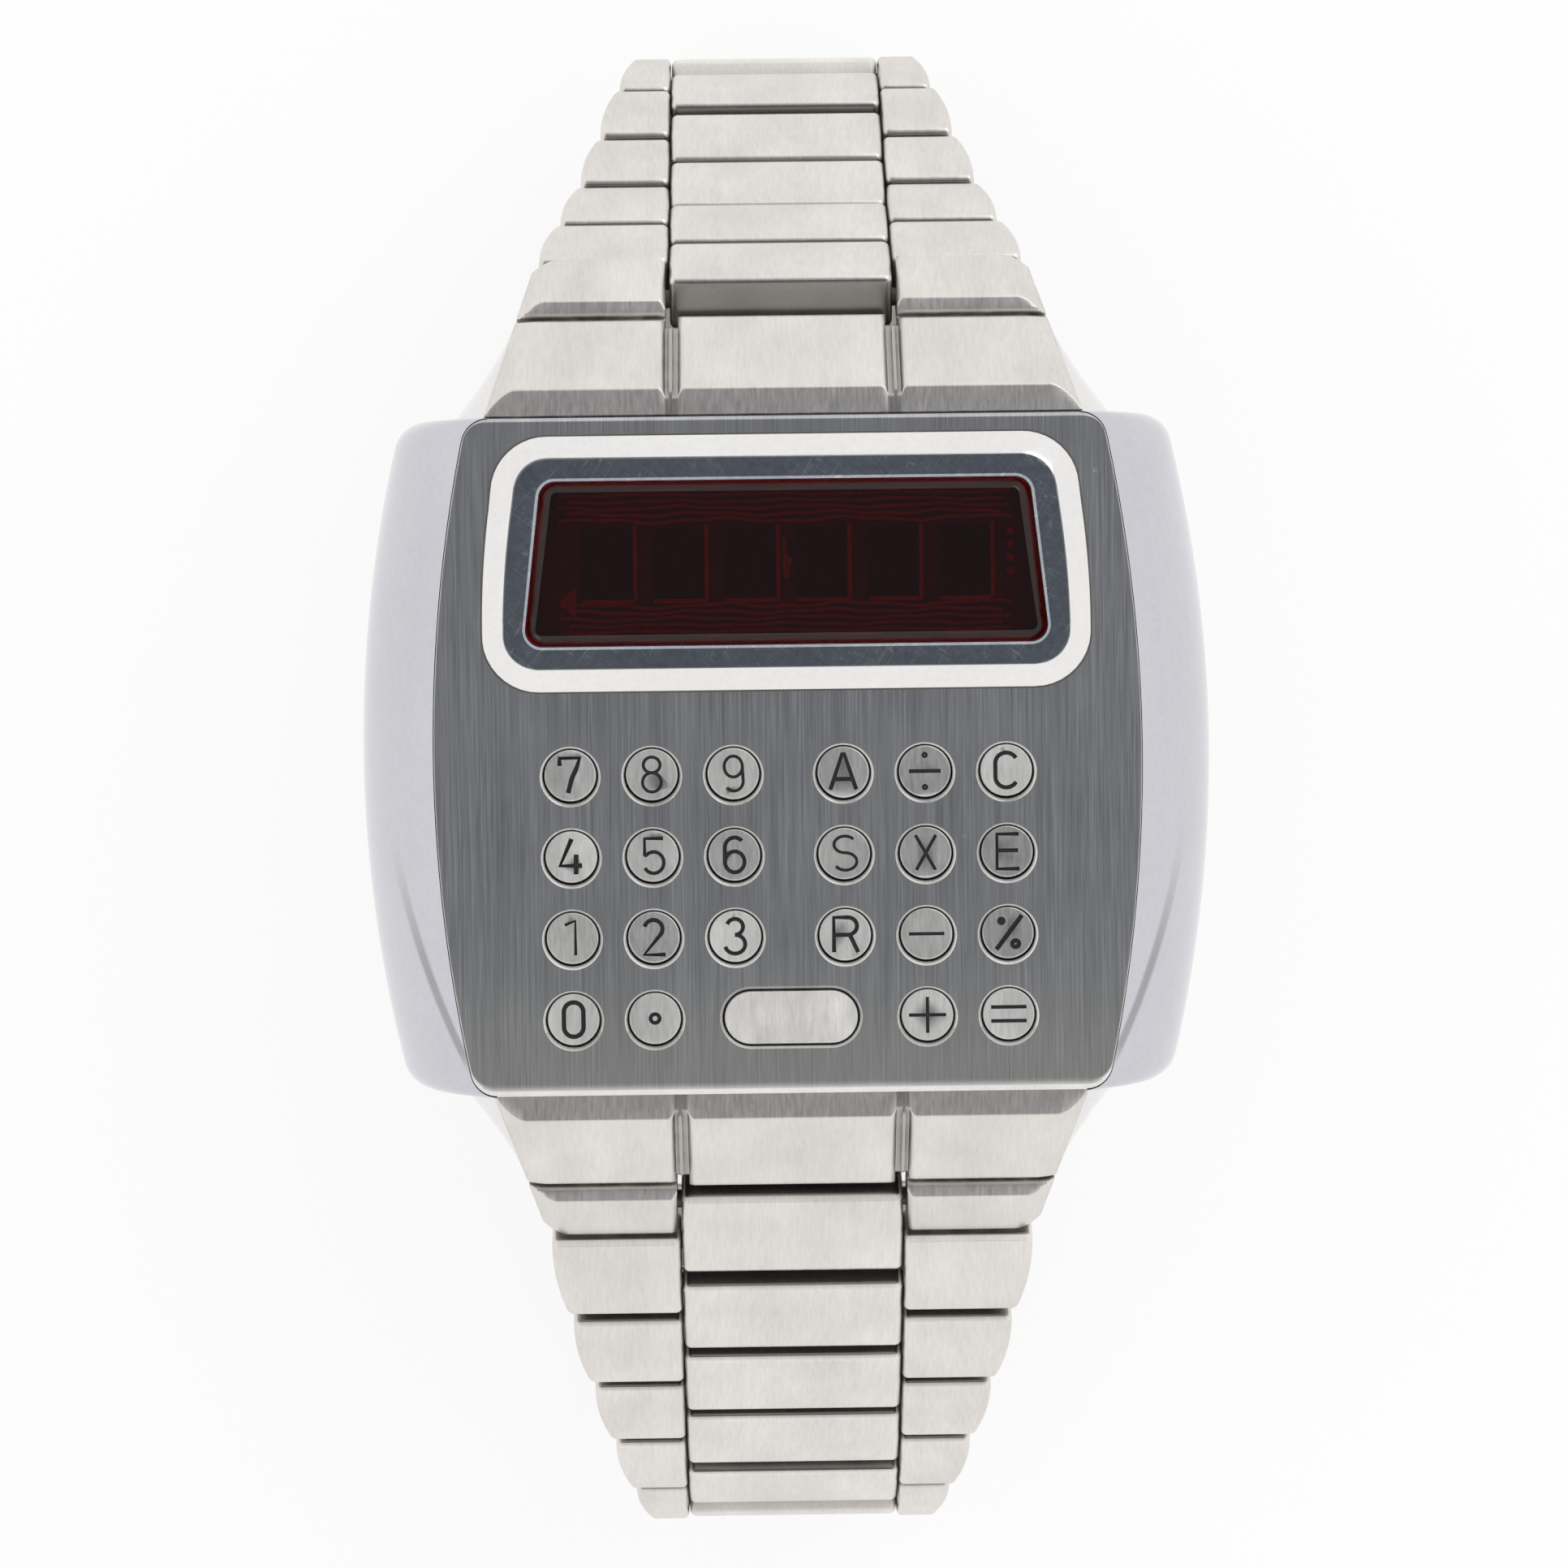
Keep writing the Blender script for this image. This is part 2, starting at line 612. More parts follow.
def baked(piece):
    """The piece's mesh with its modifiers applied. The piece itself is removed."""
    bpy.context.view_layer.update()
    graph = bpy.context.evaluated_depsgraph_get()
    mesh = bpy.data.meshes.new_from_object(piece.evaluated_get(graph), depsgraph=graph)
    bpy.data.objects.remove(piece)
    return mesh


def finished(piece, body, nodes=(), angle=32):
    """Applies a piece's modifiers, shades it with its flat faces kept flat, and puts it on its body."""
    name = piece.name
    shaded = new_object(name, smooth(baked(piece), angle))
    mod = shaded.modifiers.new("Normals", "WEIGHTED_NORMAL")
    mod.keep_sharp = True
    mesh = baked(shaded)
    mesh.name = name
    done = new_object(name, mesh)
    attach(done, body)
    if nodes:
        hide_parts(*nodes)
    return done


def loft(rings, closed=False):
    """Points and faces of a skin over rings with equal counts.
    A closed one joins its last ring to its first, and an open one gets a face at each end."""
    count = len(rings[0])
    points = [p for ring in rings for p in ring]
    faces = []
    for r in range(len(rings) - (0 if closed else 1)):
        here, there = r * count, (r + 1) % len(rings) * count
        for i in range(count):
            j = (i + 1) % count
            faces.append((here + i, here + j, there + j, there + i))
    if not closed:
        faces.append(tuple(reversed(range(count))))
        faces.append(tuple(range(len(points) - count, len(points))))
    return points, faces


def arched_ring(half, low, high, side_r, corner, z, side_steps=16, corner_steps=8):
    """Points round an outline with two curved sides, straight ends and round corners.
    The sides are widest at the case centre, and half is their half width there."""
    reach = half - side_r
    right = []
    turns = []
    for end, sign in ((low, -1), (high, 1)):
        centre_y = end - sign * corner
        centre_x = reach + math.sqrt((side_r - corner) ** 2 - centre_y ** 2)
        turns.append((centre_x, centre_y, math.atan2(centre_y, centre_x - reach)))
    (low_x, low_y, low_turn), (high_x, high_y, high_turn) = turns
    for i in range(corner_steps + 1):
        a = -math.pi / 2 + (low_turn + math.pi / 2) * i / corner_steps
        right.append((low_x + corner * math.cos(a), low_y + corner * math.sin(a)))
    for i in range(1, side_steps):
        a = low_turn + (high_turn - low_turn) * i / side_steps
        right.append((reach + side_r * math.cos(a), side_r * math.sin(a)))
    for i in range(corner_steps + 1):
        a = high_turn + (math.pi / 2 - high_turn) * i / corner_steps
        right.append((high_x + corner * math.cos(a), high_y + corner * math.sin(a)))
    left = [(-x, y) for x, y in reversed(right)]
    return [Vector((x, y, z)) for x, y in right + left]


def lathe(profile, centre, steps=48):
    """Points and faces of a solid turned about an upright axis.
    The profile runs from its foot to its top."""
    turns = [2 * math.pi * i / steps for i in range(steps)]
    return loft([
        [Vector((centre.x + radius * math.cos(a), centre.y + radius * math.sin(a), z)) for a in turns]
        for radius, z in profile])


def oval_ring(half_l, half_w, centre, z, steps=20):
    """Points round an oval with straight sides."""
    points = []
    for sign in (1, -1):
        for i in range(steps + 1):
            a = -math.pi / 2 + math.pi * i / steps
            points.append(Vector((centre.x + sign * (half_l - half_w + half_w * math.cos(a)),
                                  centre.y + sign * half_w * math.sin(a), z)))
    return points


def merged(parts):
    """One list of points and faces out of several."""
    points, faces = [], []
    for more_points, more_faces in parts:
        start = len(points)
        points += more_points
        faces += [tuple(start + i for i in face) for face in more_faces]
    return points, faces


def bevel(piece, width, angle):
    """Rounds a piece's edges that are sharper than an angle."""
    mod = piece.modifiers.new("Edges", "BEVEL")
    mod.width = width
    mod.segments = 3
    mod.limit_method = "ANGLE"
    mod.angle_limit = math.radians(angle)
    mod.harden_normals = False


def carve(piece, cutter, transfer=False):
    """Cuts one object out of another, and removes the cutter. The cut's walls keep the cutter's materials
    where transfer is set."""
    mod = piece.modifiers.new("Cut", "BOOLEAN")
    mod.operation = "DIFFERENCE"
    mod.solver = "EXACT"
    mod.object = cutter
    mod.use_self = True
    mod.material_mode = "TRANSFER" if transfer else "INDEX"
    if not piece.data.materials:
        raise RuntimeError(f"{piece.name} has no material")
    name = piece.name
    mesh = baked(piece)
    bpy.data.objects.remove(cutter)
    return new_object(name, mesh)


def flat_ring(half_x, middle_y, half_y, corner, z):
    """Points round a rectangle with round corners, centred on the case from left to right."""
    return arched_ring(half_x, middle_y - half_y, middle_y + half_y, FLAT_CURVE, corner, z)


def frame_hole(middle_y, levels):
    """Points and faces of the hole that the window frame's tube goes through."""
    half_x, half_y = CRYSTAL_HIGH.x + FRAME_GAP, (CRYSTAL_HIGH.y - CRYSTAL_LOW.y) / 2 + FRAME_GAP
    return loft([flat_ring(half_x, middle_y, half_y, FRAME_HOLE_R, z) for z in levels])


# Case

def case_heights():
    """The top of the flanks, the height where the case is widest, and the depth below that."""
    sizes = bpy.context.scene.watch_case
    top = PLATE_LOW.z + 0.8 * MM
    seat = PLATE_HIGH.x + SEAT_GAP
    centre = SHELL_HIGH.x - sizes.flank_r
    widest = top - math.sqrt(sizes.flank_r ** 2 - (seat - centre) ** 2)
    return top, widest, widest - SHELL_LOW.z


def case_profile(z):
    """Half the case's width and half its length at a height, and how far up the upper flank that is."""
    sizes = bpy.context.scene.watch_case
    top, widest, low_r = case_heights()
    curve = sizes.flank_r if z >= widest else low_r
    x = SHELL_HIGH.x - curve + math.sqrt(max(0.0, curve ** 2 - (z - widest) ** 2))
    y = PLATE_HIGH.y + SEAT_GAP
    drop = SHELL_LOW.z + sizes.under_r - z
    if drop > 0:
        y = y - sizes.under_r + math.sqrt(max(0.0, sizes.under_r ** 2 - drop ** 2))
    upper = (z - widest) / (top - widest) if z > widest else 0.0
    return x, y, upper


def case_rings():
    """Rings of the case from its underside to a step above the plate's seat."""
    sizes = bpy.context.scene.watch_case
    top, widest, low_r = case_heights()
    under, over = 14, 22
    levels = [widest - low_r * math.cos(math.pi / 2 * i / under) for i in range(under)]
    levels += [widest + (top - widest) * i / over for i in range(over + 2)]
    rings = []
    for z in levels:
        x, y, upper = case_profile(z)
        side = sizes.side_r + (sizes.plate_side_r - sizes.side_r) * upper
        rings.append(arched_ring(x, -y, y, side, sizes.corner_r * (1 - 0.3 * upper), z, 48, 10))
    return rings


def shoulder(sign_x, sign_y):
    """A polished wing that leads from the case to the end link. It gets thinner and lower on its way."""
    base_y = PLATE_HIGH.y - 0.6 * MM
    run = SHELL_HIGH.y - PLATE_HIGH.y
    steps, arc = 14, 7
    rings = []
    for i in range(steps + 1):
        y = base_y + (SHELL_HIGH.y - base_y) * i / steps
        t = max(0.0, (y - PLATE_HIGH.y) / run)
        inner = 15.95 * MM - END_LEAN * t * run
        wide = (1.68 * (1 - t) ** 1.5 + 0.14) * MM
        top = DIAL - (3.6 + 5.0 * t ** 1.1) * MM
        low = DIAL - (11.0 - 0.8 * t) * MM
        fall = (2.6 * (1 - t) + 0.9) * MM
        ring = [(inner, low), (inner + wide, low)]
        for k in range(arc + 1):
            a = math.pi / 2 * k / arc
            ring.append((inner + wide * math.cos(a), top - fall * (1 - math.sin(a))))
        rings.append([Vector((sign_x * x, sign_y * y, z)) for x, z in ring])
    return loft(rings)


class WATCH_OT_case(bpy.types.Operator):
    """Build the polished case with its curved flanks and shoulders"""
    bl_idname = "watch.case"
    bl_label = "Case"

    def execute(self, context):
        """Builds the case."""
        sizes = context.scene.watch_case
        keys = context.scene.watch_keys
        steel = material("flank_steel")
        body = new_object("case_shell", mesh_of(*loft(case_rings())), steel)
        seat = PLATE_HIGH.x + SEAT_GAP
        end = PLATE_HIGH.y + 0.04 * MM
        through = seat - 3.1 * MM
        levels = (PLATE_LOW.z, DIAL + 5 * MM)
        cuts = [loft([arched_ring(seat, -end, end, sizes.plate_side_r, sizes.plate_corner_r, z, 120)
                      for z in levels])]
        cuts.append(loft([flat_ring(through, 0, end + MM, 0.1 * MM, z) for z in levels]))
        cuts.append(loft([flat_ring(15 * MM, 0, 14.9 * MM, 3 * MM, z)
                          for z in (SHELL_LOW.z - MM, PLATE_LOW.z - 0.9 * MM)]))
        body = carve(body, new_object("cutter", mesh_of(*merged(cuts)), steel))
        deck = (PLATE_LOW.z - 2 * MM, PLATE_LOW.z + MM)
        holes = []
        for name in ROUND_KEYS:
            low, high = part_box(name)
            radius = (high.x - low.x) / 2 + keys.gap
            holes.append(lathe([(radius, deck[0]), (radius, deck[1])], (low + high) / 2, 32))
        low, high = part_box("time_button")
        holes.append(loft([oval_ring((high.x - low.x) / 2 + keys.gap, (high.y - low.y) / 2 + keys.gap,
                                     (low + high) / 2, z) for z in deck]))
        holes.append(frame_hole((WINDOW_LOW.y + WINDOW_HIGH.y) / 2, deck))
        body = carve(body, new_object("cutter", mesh_of(*merged(holes)), steel))
        shoulders = merged([shoulder(x, y) for x in (-1, 1) for y in (-1, 1)])
        wings = new_object("case_shoulders", mesh_of(*shoulders), material("polished_steel"))
        finished(wings, CASE, (), 45)
        finished(body, CASE, ["case_body"], 28)
        return {"FINISHED"}


# Face plate

def hole_tree():
    """Cuts a grid of chamfered key holes, with a wider gap in the middle and none under the oval key."""
    web, given, out = group(
        "Key holes", "GeometryNodeTree",
        {"Plate": ("geometry", None), "Radius": ("number", 1.5 * MM), "Chamfer": ("number", 0.17 * MM),
         "Pitch": ("number", 4.3 * MM), "Middle gap": ("number", 5.8 * MM), "Last row": ("number", 0.0),
         "Dial": ("number", 0.0), "Finish": ("material", None)},
        {"Plate": "geometry"})
    columns, rows, around = 6, 4, 48
    pitch = given["Pitch"]
    extra = web.times(web.minus(given["Middle gap"], pitch), 0.5)
    grid = web.add("GeometryNodeMeshGrid", {
        "Size X": web.times(pitch, columns - 1.0), "Size Y": web.times(pitch, rows - 1.0),
        "Vertices X": columns, "Vertices Y": rows}).outputs["Mesh"]
    place = web.split(web.add("GeometryNodeInputPosition").outputs[0])
    shift_x = web.times(web.maths("SIGN", place[0]), extra)
    shift_y = web.plus(given["Last row"], web.times(pitch, (rows - 1) / 2))
    spread = web.add("GeometryNodeSetPosition", {
        "Geometry": grid, "Offset": web.join(shift_x, shift_y, given["Dial"])}).outputs[0]
    moved = web.split(web.add("GeometryNodeInputPosition").outputs[0])
    near_x = web.maths("LESS_THAN", web.maths("ABSOLUTE", moved[0]), given["Middle gap"])
    near_y = web.maths("LESS_THAN", moved[1], web.plus(given["Last row"], web.times(pitch, 0.5)))
    chosen = web.times(near_x, near_y)
    kept = web.add("GeometryNodeDeleteGeometry", {"Geometry": spread, "Selection": chosen}).outputs[0]
    bore = web.add("GeometryNodeMeshCylinder", {
        "Vertices": around, "Radius": given["Radius"], "Depth": 8 * MM}).outputs["Mesh"]
    wide = web.plus(given["Radius"], web.times(given["Chamfer"], 2.0))
    cone = web.add("GeometryNodeMeshCone", {
        "Vertices": around, "Radius Bottom": web.minus(given["Radius"], given["Chamfer"]),
        "Radius Top": wide, "Depth": web.times(given["Chamfer"], 3.0)}).outputs["Mesh"]
    lift = web.times(given["Chamfer"], -2.0)
    sunk_cone = web.add("GeometryNodeTransform", {
        "Geometry": cone, "Translation": web.join(0.0, -HOLE_SHIFT, lift)}).outputs[0]
    tool = web.add("GeometryNodeMeshBoolean", operation="UNION", solver="EXACT")
    web.feed(tool.inputs["Mesh 2"], bore)
    web.feed(tool.inputs["Mesh 2"], sunk_cone)
    each = web.add("GeometryNodeInstanceOnPoints", {
        "Points": kept, "Instance": tool.outputs["Mesh"]}).outputs[0]
    holes = web.add("GeometryNodeRealizeInstances", {"Geometry": each}).outputs[0]
    cut = web.add(
        "GeometryNodeMeshBoolean", {"Mesh 1": given["Plate"]}, operation="DIFFERENCE", solver="EXACT")
    web.feed(cut.inputs["Mesh 2"], holes)
    real = web.add("GeometryNodeRealizeInstances", {"Geometry": cut.outputs["Mesh"]}).outputs[0]
    web.feed(out["Plate"], web.add("GeometryNodeSetMaterial", {
        "Geometry": real, "Material": given["Finish"]}).outputs[0])
    return web.tree


def grown(piece, tree, values):
    """Puts a Geometry Nodes tree on a piece with its named inputs set."""
    mod = piece.modifiers.new(tree.name, "NODES")
    mod.node_group = tree
    for item in tree.interface.items_tree:
        if item.in_out == "INPUT" and item.name in values:
            mod[item.identifier] = values[item.name]
    return piece


class WATCH_OT_face_plate(bpy.types.Operator):
    """Build the brushed face plate with its key holes"""
    bl_idname = "watch.face_plate"
    bl_label = "Face plate"

    def execute(self, context):
        """Builds the face plate."""
        sizes = context.scene.watch_case
        keys = context.scene.watch_keys
        steel = material("brushed_plate")
        half_x, half_y = PLATE_HIGH.x, PLATE_HIGH.y
        side = sizes.plate_side_r
        rings = [arched_ring(half_x, -half_y, half_y, side, sizes.plate_corner_r, PLATE_LOW.z, 24, 10)]
        steps = 8
        for i in range(steps + 1):
            a = math.pi / 2 * i / steps
            inset = sizes.plate_rim * (1 - math.cos(a))
            z = DIAL - sizes.plate_drop * (1 - math.sin(a))
            corner = max(sizes.plate_corner_r - 0.6 * inset, 0.4 * MM)
            rings.append(arched_ring(half_x - 0.1 * inset, inset - half_y, half_y - 0.35 * inset,
                                     side - inset, corner, z, 24, 10))
        plate = new_object("brushed_face_plate", mesh_of(*loft(rings)), steel)
        low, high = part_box("time_button")
        centre = (low + high) / 2
        half_l = (high.x - low.x) / 2 - keys.flange + keys.gap
        half_w = (high.y - low.y) / 2 - keys.flange + keys.gap
        under, above = PLATE_LOW.z - MM, DIAL + keys.chamfer
        slot = loft([oval_ring(half_l, half_w, centre, under),
                     oval_ring(half_l, half_w, centre, DIAL - keys.chamfer),
                     oval_ring(half_l + 2 * keys.chamfer, half_w + 2 * keys.chamfer, centre, above)])
        opening = frame_hole((CRYSTAL_LOW.y + CRYSTAL_HIGH.y) / 2, (under, DIAL + MM))
        plate = carve(plate, new_object("cutter", mesh_of(*merged([slot, opening])), steel))
        nine_low, nine_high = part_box("key_9")
        eight_low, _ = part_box("key_8")
        last_low, last_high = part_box("key_0")
        grown(plate, hole_tree(), {
            "Radius": (last_high.x - last_low.x) / 2 - keys.flange + keys.gap,
            "Chamfer": keys.chamfer, "Pitch": nine_low.x - eight_low.x,
            "Middle gap": -(nine_low.x + nine_high.x),
            "Last row": (last_low.y + last_high.y) / 2, "Dial": DIAL, "Finish": steel})
        plate = new_object("brushed_face_plate", baked(plate), material("edge_steel"))
        field = 14.5 * MM  # half of the square that holds every key hole
        for face in plate.data.polygons:
            spot, up = face.center, face.normal
            by_hole = 0.5 < up.z < 0.9 and abs(spot.x) < field and abs(spot.y) < field
            by_oval = abs(spot.x - centre.x) < half_l + MM and abs(spot.y - centre.y) < half_w + MM
            on_rim = up.y < -0.3 and up.z > 0.1 and spot.y < -15 * MM
            if (by_hole and not by_oval) or on_rim:
                face.material_index = len(plate.data.materials) - 1
        finished(plate, CASE, ["face_plate"], 40)
        return {"FINISHED"}


# Window

def spread_ring(half_x, half_y, taper, corner, z, bow=0.0, side_steps=12, corner_steps=10):
    """Points round the window's outline, which gets wider towards its lower edge.
    half_x is its mean half width."""
    middle = (WINDOW_LOW.y + WINDOW_HIGH.y) / 2
    lean = taper / (4 * half_y)
    turn = math.atan(lean)
    right = []
    for sign in (-1, 1):
        y = sign * (half_y - corner)
        x = half_x - lean * y - corner / math.cos(turn)
        first, last = (-math.pi / 2, turn) if sign < 0 else (turn, math.pi / 2)
        for i in range(corner_steps + 1):
            a = first + (last - first) * i / corner_steps
            right.append((x + corner * math.cos(a), y + corner * math.sin(a)))
        if sign < 0:
            straight = 2 * (half_y - corner) - 2 * corner * math.sin(turn)
            start = right[-1]
            for i in range(1, side_steps):
                t = i / side_steps
                out = start[0] - lean * straight * t + bow * 4 * t * (1 - t)
                right.append((out, start[1] + straight * t))
    left = [(-x, y) for x, y in reversed(right)]
    return [Vector((x, middle + y, z)) for x, y in right + left]


def opening_half():
    """Mean half width and half height of the opening that holds the crystal."""
    lean = 0.39 * MM  # what the taper adds to half of the crystal's box
    return ((CRYSTAL_HIGH.x - CRYSTAL_LOW.x) / 2 + GLASS_GAP - lean,
            (CRYSTAL_HIGH.y - CRYSTAL_LOW.y) / 2 + GLASS_GAP)


def frame_rings():
    """Rings round the window frame, from its foot over its top to its tube, and where its flat ring is."""
    sizes = bpy.context.scene.watch_case
    taper, slope, r, bow = sizes.taper, sizes.frame_slope, sizes.frame_r, sizes.frame_bow
    lean = 0.27 * MM  # what the taper adds to half of the frame's box
    half_x = (WINDOW_HIGH.x - WINDOW_LOW.x) / 2 - lean
    half_y = (WINDOW_HIGH.y - WINDOW_LOW.y) / 2
    top, rise = WINDOW_HIGH.z, WINDOW_HIGH.z - DIAL
    glass_x, glass_y = opening_half()
    glass_r = sizes.crystal_r
    lip, ledge, joint, soft, sunk_in = 0.14 * MM, 0.6 * MM, 0.05 * MM, 0.14 * MM, 0.02 * MM
    seat = CRYSTAL_LOW.z - sunk_in
    tube_x, tube_y, tube_r = CRYSTAL_HIGH.x + 1.05 * MM, glass_y + 1.05 * MM, 1.85 * MM
    rings = [
        spread_ring(half_x - inset, half_y - inset, taper, corner, z, bow) for inset, corner, z in (
            (-joint, r, DIAL - sunk_in), (-joint, r, DIAL + sunk_in), (0.03 * MM, r, DIAL + sunk_in),
            (0.03 * MM, r, DIAL + 0.07 * MM), (0.08 * MM, r, DIAL + 0.13 * MM),
            (slope - soft, r - slope + soft, top - soft * rise / slope),
            (slope - 0.3 * soft, r - slope + 0.3 * soft, top - 0.25 * soft),
            (slope + 0.5 * soft, r - slope, top))]
    flat = len(rings) - 1
    rings += [
        spread_ring(glass_x - inset, glass_y - inset, taper, corner, z) for inset, corner, z in (
            (-lip, glass_r + lip, top), (0, glass_r, top - 0.8 * lip), (0, glass_r, seat),
            (ledge, glass_r - ledge, seat), (ledge, glass_r - ledge, WINDOW_LOW.z))]
    rings += [spread_ring(tube_x, tube_y, 0, tube_r, z) for z in (WINDOW_LOW.z, DIAL - sunk_in)]
    return rings, flat


def crystal_rings():
    """Rings of the filter glass, from its foot to its face."""
    sizes = bpy.context.scene.watch_case
    slope = sizes.crystal_slope
    half_x, half_y = opening_half()
    foot, top = CRYSTAL_LOW.z, CRYSTAL_HIGH.z
    shoulder_z = top - 0.35 * MM
    rings = []
    for inset, z in ((0.1 * MM, foot), (0, foot + 0.1 * MM), (0, shoulder_z - 0.06 * MM),
                     (0.04 * MM, shoulder_z), (slope - 0.05 * MM, top - 0.02 * MM),
                     (slope + 0.04 * MM, top)):
        corner = max(sizes.crystal_r - inset, 0.25 * MM)
        rings.append(spread_ring(half_x - GLASS_GAP - inset, half_y - GLASS_GAP - inset, sizes.taper,
                                 corner, z, 0, 8, 8))
    return rings


class WATCH_OT_window(bpy.types.Operator):
    """Build the window frame and the filter glass"""
    bl_idname = "watch.window"
    bl_label = "Window"

    def execute(self, context):
        """Builds the window."""
        rings, flat = frame_rings()
        window = new_object("window_surround", mesh_of(*loft(rings, closed=True)),
                            material("polished_steel"), material("window_ring"), material("joint_dirt"))
        count = len(rings[0])
        for face in window.data.polygons:
            band = face.index // count
            if band in (flat, flat + 1):
                face.material_index = 1
            elif band == 1:
                face.material_index = 2
        finished(window, CASE, ["window_frame"], 25)
        crystal = new_object("filter_glass", mesh_of(*loft(crystal_rings())), material("crystal_glass"))
        finished(crystal, CASE, ["crystal"], 25)
        return {"FINISHED"}


# Display

def stripe(points, width, low, high):
    """A flat band along a line of points, with square ends."""
    left, right = [], []
    for i, (x, y) in enumerate(points):
        before, after = points[max(i - 1, 0)], points[min(i + 1, len(points) - 1)]
        along = Vector((after[0] - before[0], after[1] - before[1])).normalized()
        side = Vector((-along.y, along.x)) * width / 2
        left.append((x + side.x, y + side.y))
        right.append((x - side.x, y - side.y))
    return loft([
        [Vector((*a, low)), Vector((*b, low)), Vector((*b, high)), Vector((*a, high))]
        for a, b in zip(left, right)])


def digit_tree():
    """A row of digit chips, each with a printed corner line."""
    web, given, out = group(
        "Digit row", "GeometryNodeTree",
        {"Board": ("geometry", None), "Pitch": ("number", 3.78 * MM),
         "Chip": ("vector", (2.6 * MM, 3.6 * MM, 0.2 * MM)), "Line": ("number", 0.22 * MM),
         "Centre": ("vector", (0, 0, 0)), "Chip finish": ("material", None),
         "Line finish": ("material", None)},
        {"Board": "geometry"})
    digits = 6
    start = web.join(web.times(given["Pitch"], (1 - digits) / 2))
    row = web.add("GeometryNodeMeshLine", {
        "Count": digits, "Start Location": start, "Offset": web.join(given["Pitch"])}).outputs[0]
    size = web.split(given["Chip"])
    chip = web.add("GeometryNodeMeshCube", {"Size": given["Chip"]}).outputs["Mesh"]
    chip = web.add("GeometryNodeSetMaterial", {
        "Geometry": chip, "Material": given["Chip finish"]}).outputs[0]
    flat = web.times(size[2], 0.5)
    bars = []
    gap = web.times(given["Line"], 0.9)
    tall = web.join(given["Line"], web.plus(size[1], web.times(gap, 2.0)), flat)
    wide = web.join(web.plus(size[0], gap), given["Line"], flat)
    at_side = web.join(web.plus(web.times(size[0], 0.5), gap), 0.0, 0.0)
    low_y = web.times(web.plus(web.times(size[1], 0.5), gap), -1.0)
    at_foot = web.join(web.times(gap, 0.5), low_y, 0.0)
    for bar_size, spot in ((tall, at_side), (wide, at_foot)):
        bar = web.add("GeometryNodeMeshCube", {"Size": bar_size}).outputs["Mesh"]
        bars.append(web.add("GeometryNodeTransform", {"Geometry": bar, "Translation": spot}).outputs[0])
    printed = web.add("GeometryNodeSetMaterial", {
        "Geometry": web.joined(*bars), "Material": given["Line finish"]}).outputs[0]
    each = web.add("GeometryNodeInstanceOnPoints", {
        "Points": row, "Instance": web.joined(chip, printed)}).outputs[0]
    placed = web.add("GeometryNodeTransform", {
        "Geometry": each, "Translation": given["Centre"]}).outputs[0]
    web.feed(out["Board"], web.add("GeometryNodeRealizeInstances", {
        "Geometry": web.joined(given["Board"], placed)}).outputs[0])
    return web.tree


def printed_mark(outline, middle_y, foot, height):
    """A flat printed mark. Its outline is in millimetres from the middle of the board."""
    return loft([[Vector((x * MM, middle_y + y * MM, z)) for x, y in outline]
                 for z in (foot, foot + height)])


def board_prints(middle, half_x):
    """The printed lines and marks on the board."""
    top, mark_t, dot_r = middle.z, 0.04 * MM, 0.2 * MM
    printed = []
    for rank in range(5):
        for sign in (1, -1):
            y = middle.y + sign * (2.25 + 0.34 * rank) * MM
            points = []
            for i in range(49):
                t = i / 48
                wave = 0.10 * math.sin(7 * t * math.pi + rank) + 0.05 * math.sin(17 * t * math.pi)
                points.append(((t - 0.5) * 2 * (half_x - (1.2 + 0.5 * (rank % 2)) * MM),
                               y + wave * MM * (1 - 0.15 * rank)))
            printed.append(stripe(points, 0.16 * MM, top, top + 0.03 * MM))
    arrow = [(-12.0, -2.0), (-11.1, -2.9), (-11.1, -1.2)]
    spark = [(-0.1, -0.9), (0.15, -0.9), (0.35, 0.2), (0.1, 0.3), (0.05, 1.3), (-0.15, 1.3)]
    printed += [printed_mark(outline, middle.y, top, mark_t) for outline in (arrow, spark)]
    for i in range(4):
        spot = Vector((11.9 * MM, middle.y + (1.5 - i * 0.7) * MM, top))
        printed.append(lathe([(dot_r, top), (dot_r, top + mark_t)], spot, 12))
    return merged(printed)


def board_leads(middle_y, half_x, low):
    """The short leads under the board's two long edges."""
    lead_r = 0.15 * MM
    leads = []
    for i in range(9):
        for sign in (1, -1):
            spot = Vector(((i - 4) * half_x * 0.2, middle_y + sign * 3.3 * MM, 0))
            leads.append(lathe([(lead_r, BOARD_LOW.z), (lead_r, low)], spot, 12))
    return merged(leads)


